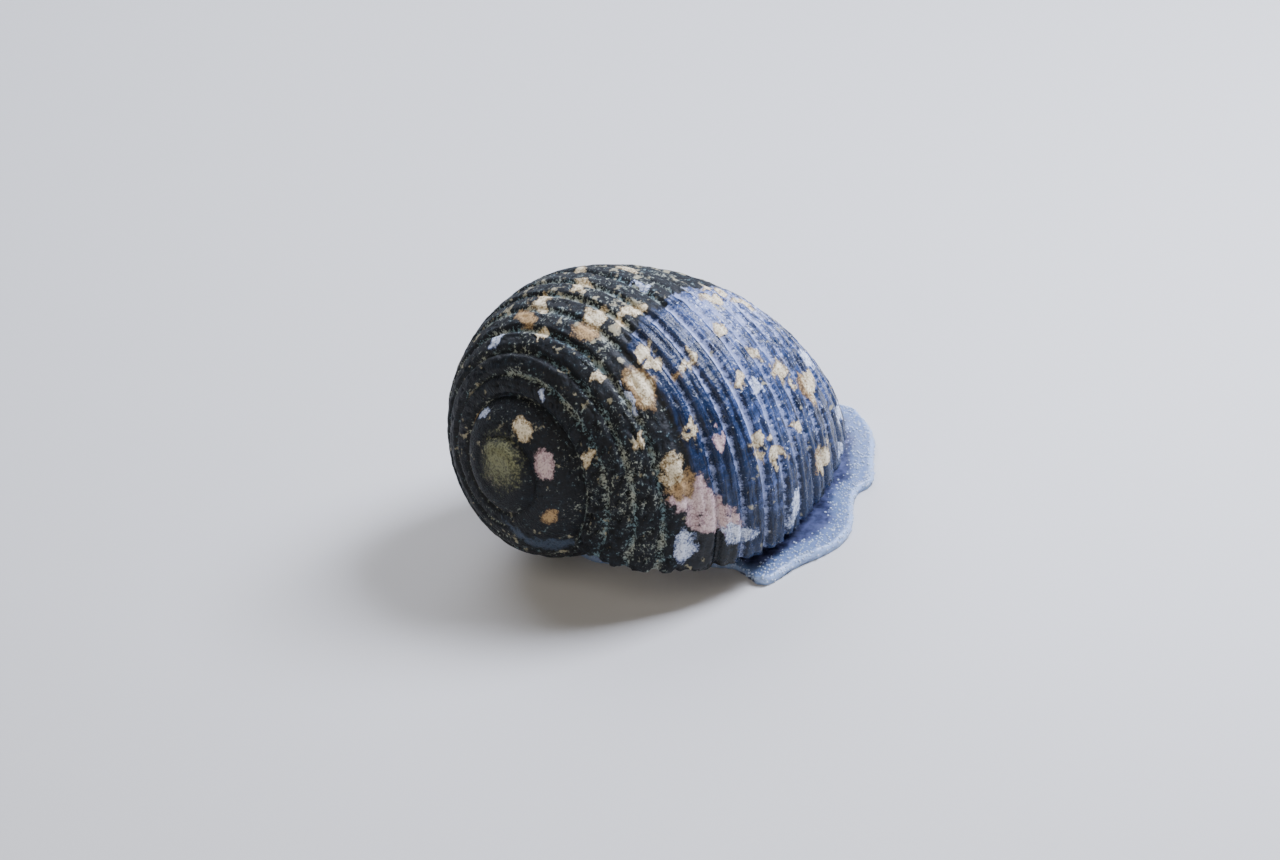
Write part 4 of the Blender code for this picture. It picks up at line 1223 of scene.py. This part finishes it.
@dataclass
class Skin:
    """One skin over the foot, tail, neck, head, feelers, eyestalks and mantle."""

    nodes: tuple[str, ...] = (
        "foot",
        "tail",
        "mantle",
        "head",
        "tentacle_left",
        "tentacle_right",
        "eyestalk_left",
        "eyestalk_right",
    )
    voxel: float = 0.12
    smoothing: int = 6
    outline_bins: int = 240
    mouth_height: float = 0.6
    mouth_half_height: float = 0.42
    ring_spacing: float = 0.42

    def bridges(self) -> list[bmesh.types.BMesh]:
        """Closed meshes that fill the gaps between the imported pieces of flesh."""
        head_low, head_high = box_of("head")
        middle = (head_low + head_high) / 2
        made = []
        for side in Side:
            for node in ("tentacle_", "eyestalk_"):
                low, high = box_of(node + side.word)
                near = (low + high) / 2
                near[1] = low[1] + 0.45 if side is Side.LEFT else high[1] - 0.45
                near[2] = high[2] - 0.42
                path = np.linspace(middle + (near - middle) * 0.45, near, 8)
                made.append(tube(path, np.full(8, 0.4)))
        made.append(ellipsoid((1.9, -1.6, 3.4), (1.3, 2.6, 0.7)))
        made.append(ellipsoid((2.2, 0.4, 3.6), (1.2, 1.6, 0.6)))
        made.append(ellipsoid((2.6, -0.8, 2.0), (0.9, 1.4, 0.9)))
        tail_low, tail_high = box_of("tail")
        cut = tail_high[0]
        made.append(block((cut - 0.3, tail_low[1] + 0.12, 0.02), (cut + 0.6, tail_high[1] - 0.12, tail_high[2] - 0.06)))
        return made

    def build(self) -> bpy.types.Object:
        """The dressed skin as one piece."""
        mesh = bmesh.new()
        for part in [node_copy(name) for name in self.nodes] + self.bridges():
            scratch = bpy.data.meshes.new("scratch")
            part.to_mesh(scratch)
            part.free()
            mesh.from_mesh(scratch)
            bpy.data.meshes.remove(scratch)
        skin = piece("skin", mesh, 1.0)
        remesh = skin.modifiers.new("one_skin", "REMESH")
        remesh.mode = "VOXEL"
        remesh.voxel_size = self.voxel
        settling = skin.modifiers.new("settle", "SMOOTH")
        settling.factor = 0.5
        settling.iterations = self.smoothing
        settle(skin)
        finish = FleshFinish().build()
        self.detail(skin.data)
        Granules().build(skin, finish)
        return complete(skin, finish)

    def detail(self, data: bpy.types.Mesh) -> None:
        """Adds folds to the skin and stores where its margin and creases are.

        Args:
            data: the skin's mesh in millimetres.
        """
        points = places_of(data)
        normals = normals_of(data)
        edge = self.edge_distance(points)
        low = smooth((1.15 - points[:, 2]) / 0.4)
        margin = low * smooth((1.7 - edge) / 1.2)
        rim = low * smooth((0.45 - edge) / 0.4)
        folds = np.array([cloud(point, 0.8) for point in points])
        ripples = np.array([cloud(point, 0.35, 2) for point in points])
        above = points[:, 2] > 0.05
        slit, lips, rings = self.face(points)
        depth = (0.04 + 0.05 * folds + 0.05 * margin * ripples) * above + 0.2 * slit - 0.07 * lips + 0.035 * rings
        points -= normals * depth[:, None]
        points[:, 2] = np.maximum(points[:, 2], 0.0)
        data.vertices.foreach_set("co", points.astype(np.float32).ravel())
        top = above & (normals[:, 2] > -0.2)
        write_values(data, "margin", np.maximum(margin * top, 0.8 * (points[:, 2] < 0.05)))
        write_values(data, "grit", margin * top)
        write_values(data, "rim", rim)
        # The crease value marks the mouth slit for painted shade.
        write_values(data, "crease", slit)
        write_values(data, "speck", np.zeros(len(points)))

    def face(self, points: Points) -> tuple[Points, Points, Points]:
        """Where the mouth slit, the lips beside it and the rings of the snout and feelers lie, from 0 to 1."""
        low, high = box_of("head")
        across = points[:, 1] - (low[1] + high[1]) / 2
        up = points[:, 2] - (low[2] + self.mouth_height)
        front = smooth((points[:, 0] - high[0] + 0.75) / 0.3)
        open_part = smooth((self.mouth_half_height - np.abs(up)) / 0.2)
        slit = np.exp(-((across / 0.1) ** 2)) * front * open_part
        away = np.hypot(across, up * 0.55)
        lips = np.exp(-(((away - 0.3) / 0.12) ** 2)) * front
        ahead = smooth((points[:, 0] - low[0] - 0.3) / 0.6) * (points[:, 2] > low[2] - 0.3) * (points[:, 2] < high[2])
        run = np.where(np.abs(across) > (high[1] - low[1]) / 2, np.abs(points[:, 1]), points[:, 0] * 0.8 - up * 0.6)
        wave = np.sin(run * math.tau / self.ring_spacing + 2.0 * across)
        return slit, lips, 0.5 * (1 + wave) * ahead * (1 - np.clip(slit + lips, 0, 1))

    def edge_distance(self, points: Points) -> Points:
        """How far each point lies in from the outline of the sole, in millimetres."""
        bearing = np.degrees(np.arctan2(points[:, 1], points[:, 0])) % 360
        away = np.hypot(points[:, 0], points[:, 1])
        low = points[:, 2] < 1.0
        farthest = np.zeros(self.outline_bins)
        steps = (bearing * self.outline_bins / 360).astype(int) % self.outline_bins
        np.maximum.at(farthest, steps[low], away[low])
        stops = (np.arange(self.outline_bins) + 0.5) * 360 / self.outline_bins
        return np.interp(bearing, stops, farthest, period=360) - away


@dataclass
class Eyes:
    """The two black eyes at the ends of the stalks."""

    def build(self, side: Side) -> bpy.types.Object:
        """One eye, a lens-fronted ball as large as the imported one."""
        low, high = box_of("eye_" + side.word)
        radius = (high - low) / 2
        eye = piece("lens_" + side.word, ellipsoid((low + high) / 2, tuple(radius * 0.99), 48, 32))
        eye.data.materials.append(EyeFinish().build())
        return eye


@dataclass
class Lid:
    """The operculum, a D-shaped limy lid carried on the tail."""

    def build(self) -> bpy.types.Object:
        """The dressed lid as one piece."""
        mesh = node_copy("operculum")
        bmesh.ops.subdivide_edges(mesh, edges=mesh.edges[:], cuts=2, use_grid_fill=True, smooth=0.4)
        points = np.array([vertex.co for vertex in mesh.verts])
        middle = points.mean(axis=0)
        reach = np.linalg.norm((points - middle)[:, :2] / np.array([2.2, 4.2]), axis=1)
        lid = piece("operculum_plate", finished(mesh))
        write_values(lid.data, "ring", reach)
        lid.data.materials.append(LidFinish().build())
        return lid


# Stage


@dataclass
class Studio:
    """Floor, lights and the camera at the photograph's angle."""

    azimuth: float = 10.0
    elevation: float = 31.45
    roll_sine: float = 0.192
    scale: float = 21.548
    anchor: Sizes = (-2.0, -1.3, 1.6)
    anchor_pixel: Span = (663.9, 491.6)
    frame: tuple[int, int] = (1280, 860)
    distance: float = 400.0

    def view_axes(self) -> tuple[Vector, Vector, Vector]:
        """Right, up and backward unit vectors of the camera."""
        azimuth, elevation = math.radians(self.azimuth), math.radians(self.elevation)
        back = Vector(
            (math.sin(azimuth) * math.cos(elevation), -math.cos(azimuth) * math.cos(elevation), math.sin(elevation))
        )
        level = Vector((0, 0, 1)).cross(back).normalized()
        raised = back.cross(level)
        cosine = math.sqrt(1 - self.roll_sine**2)
        return level * cosine - raised * self.roll_sine, level * self.roll_sine + raised * cosine, back

    def camera(self) -> None:
        """Creates the camera and makes it the scene's."""
        right, up, back = self.view_axes()
        across = (self.frame[0] / 2 - self.anchor_pixel[0]) / self.scale
        lift = (self.anchor_pixel[1] - self.frame[1] / 2) / self.scale
        aim = Vector(self.anchor) + right * across + up * lift
        data = bpy.data.cameras.new("camera")
        data.lens = 36.0 * self.distance * self.scale / self.frame[0]
        data.sensor_width = 36.0
        data.clip_start = 0.01
        data.clip_end = 10.0
        made = bpy.data.objects.new("camera", data)
        bpy.context.scene.collection.objects.link(made)
        place = (aim + back * self.distance) * MM
        made.matrix_world = Matrix.Translation(place) @ Matrix((right, up, back)).transposed().to_4x4()
        bpy.context.scene.camera = made

    def light(self, name: str, bearing: float, rise: float, power: float, size: float, colour: str) -> None:
        """Adds one soft lamp that faces the snail.

        Args:
            name: name of the lamp.
            bearing: where it stands, in degrees from +X.
            rise: how high it stands, in degrees.
            power: its power in watts.
            size: its width in millimetres.
            colour: its sRGB hex value.
        """
        data = bpy.data.lights.new(name, "AREA")
        data.energy = power
        data.size = size * MM
        data.color = linear(colour)[:3]
        made = bpy.data.objects.new(name, data)
        bpy.context.scene.collection.objects.link(made)
        way = Vector(direction(bearing, rise))
        made.location = way * 120 * MM
        made.rotation_euler = way.to_track_quat("Z", "Y").to_euler()

    def build(self) -> None:
        """Sets up the floor, the world, the lights and the camera."""
        mesh = bmesh.new()
        bmesh.ops.create_grid(mesh, x_segments=1, y_segments=1, size=900.0)
        floor = piece("floor", mesh)
        floor.data.materials.append(FloorFinish().build())
        world = bpy.data.worlds.new("studio")
        world.use_nodes = True
        sky = world.node_tree.nodes["Background"]
        sky.inputs["Color"].default_value = linear("#cfd6e4")
        sky.inputs["Strength"].default_value = 0.14
        bpy.context.scene.world = world
        self.light("key", 15.0, 52.0, 0.46, 50.0, "#e4eaff")
        self.light("fill", -110.0, 40.0, 0.07, 120.0, "#fff4e6")
        self.light("rim", 110.0, 45.0, 0.16, 90.0, "#e9eeff")
        self.camera()


def dress(made: bpy.types.Object, slot: str, *nodes: str) -> None:
    """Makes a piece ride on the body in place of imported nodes, and logs it."""
    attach(made, BODY)
    if nodes:
        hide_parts(*nodes)
    LOG.info("%s: %d triangles", made.name, sum(len(face.vertices) - 2 for face in made.data.polygons))


def main() -> None:
    """Builds every piece in order and logs the triangle count of each."""
    logging.basicConfig(level=logging.INFO, format="%(name)s %(message)s")
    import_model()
    Studio().build()
    dress(Shell().build(), "shell", "shell")
    skin = Skin()
    dress(skin.build(), "flesh", *skin.nodes)
    for side in Side:
        dress(Eyes().build(side), "eye", "eye_" + side.word)
    dress(Lid().build(), "operculum", "operculum")


if __name__ == "__main__":
    main()
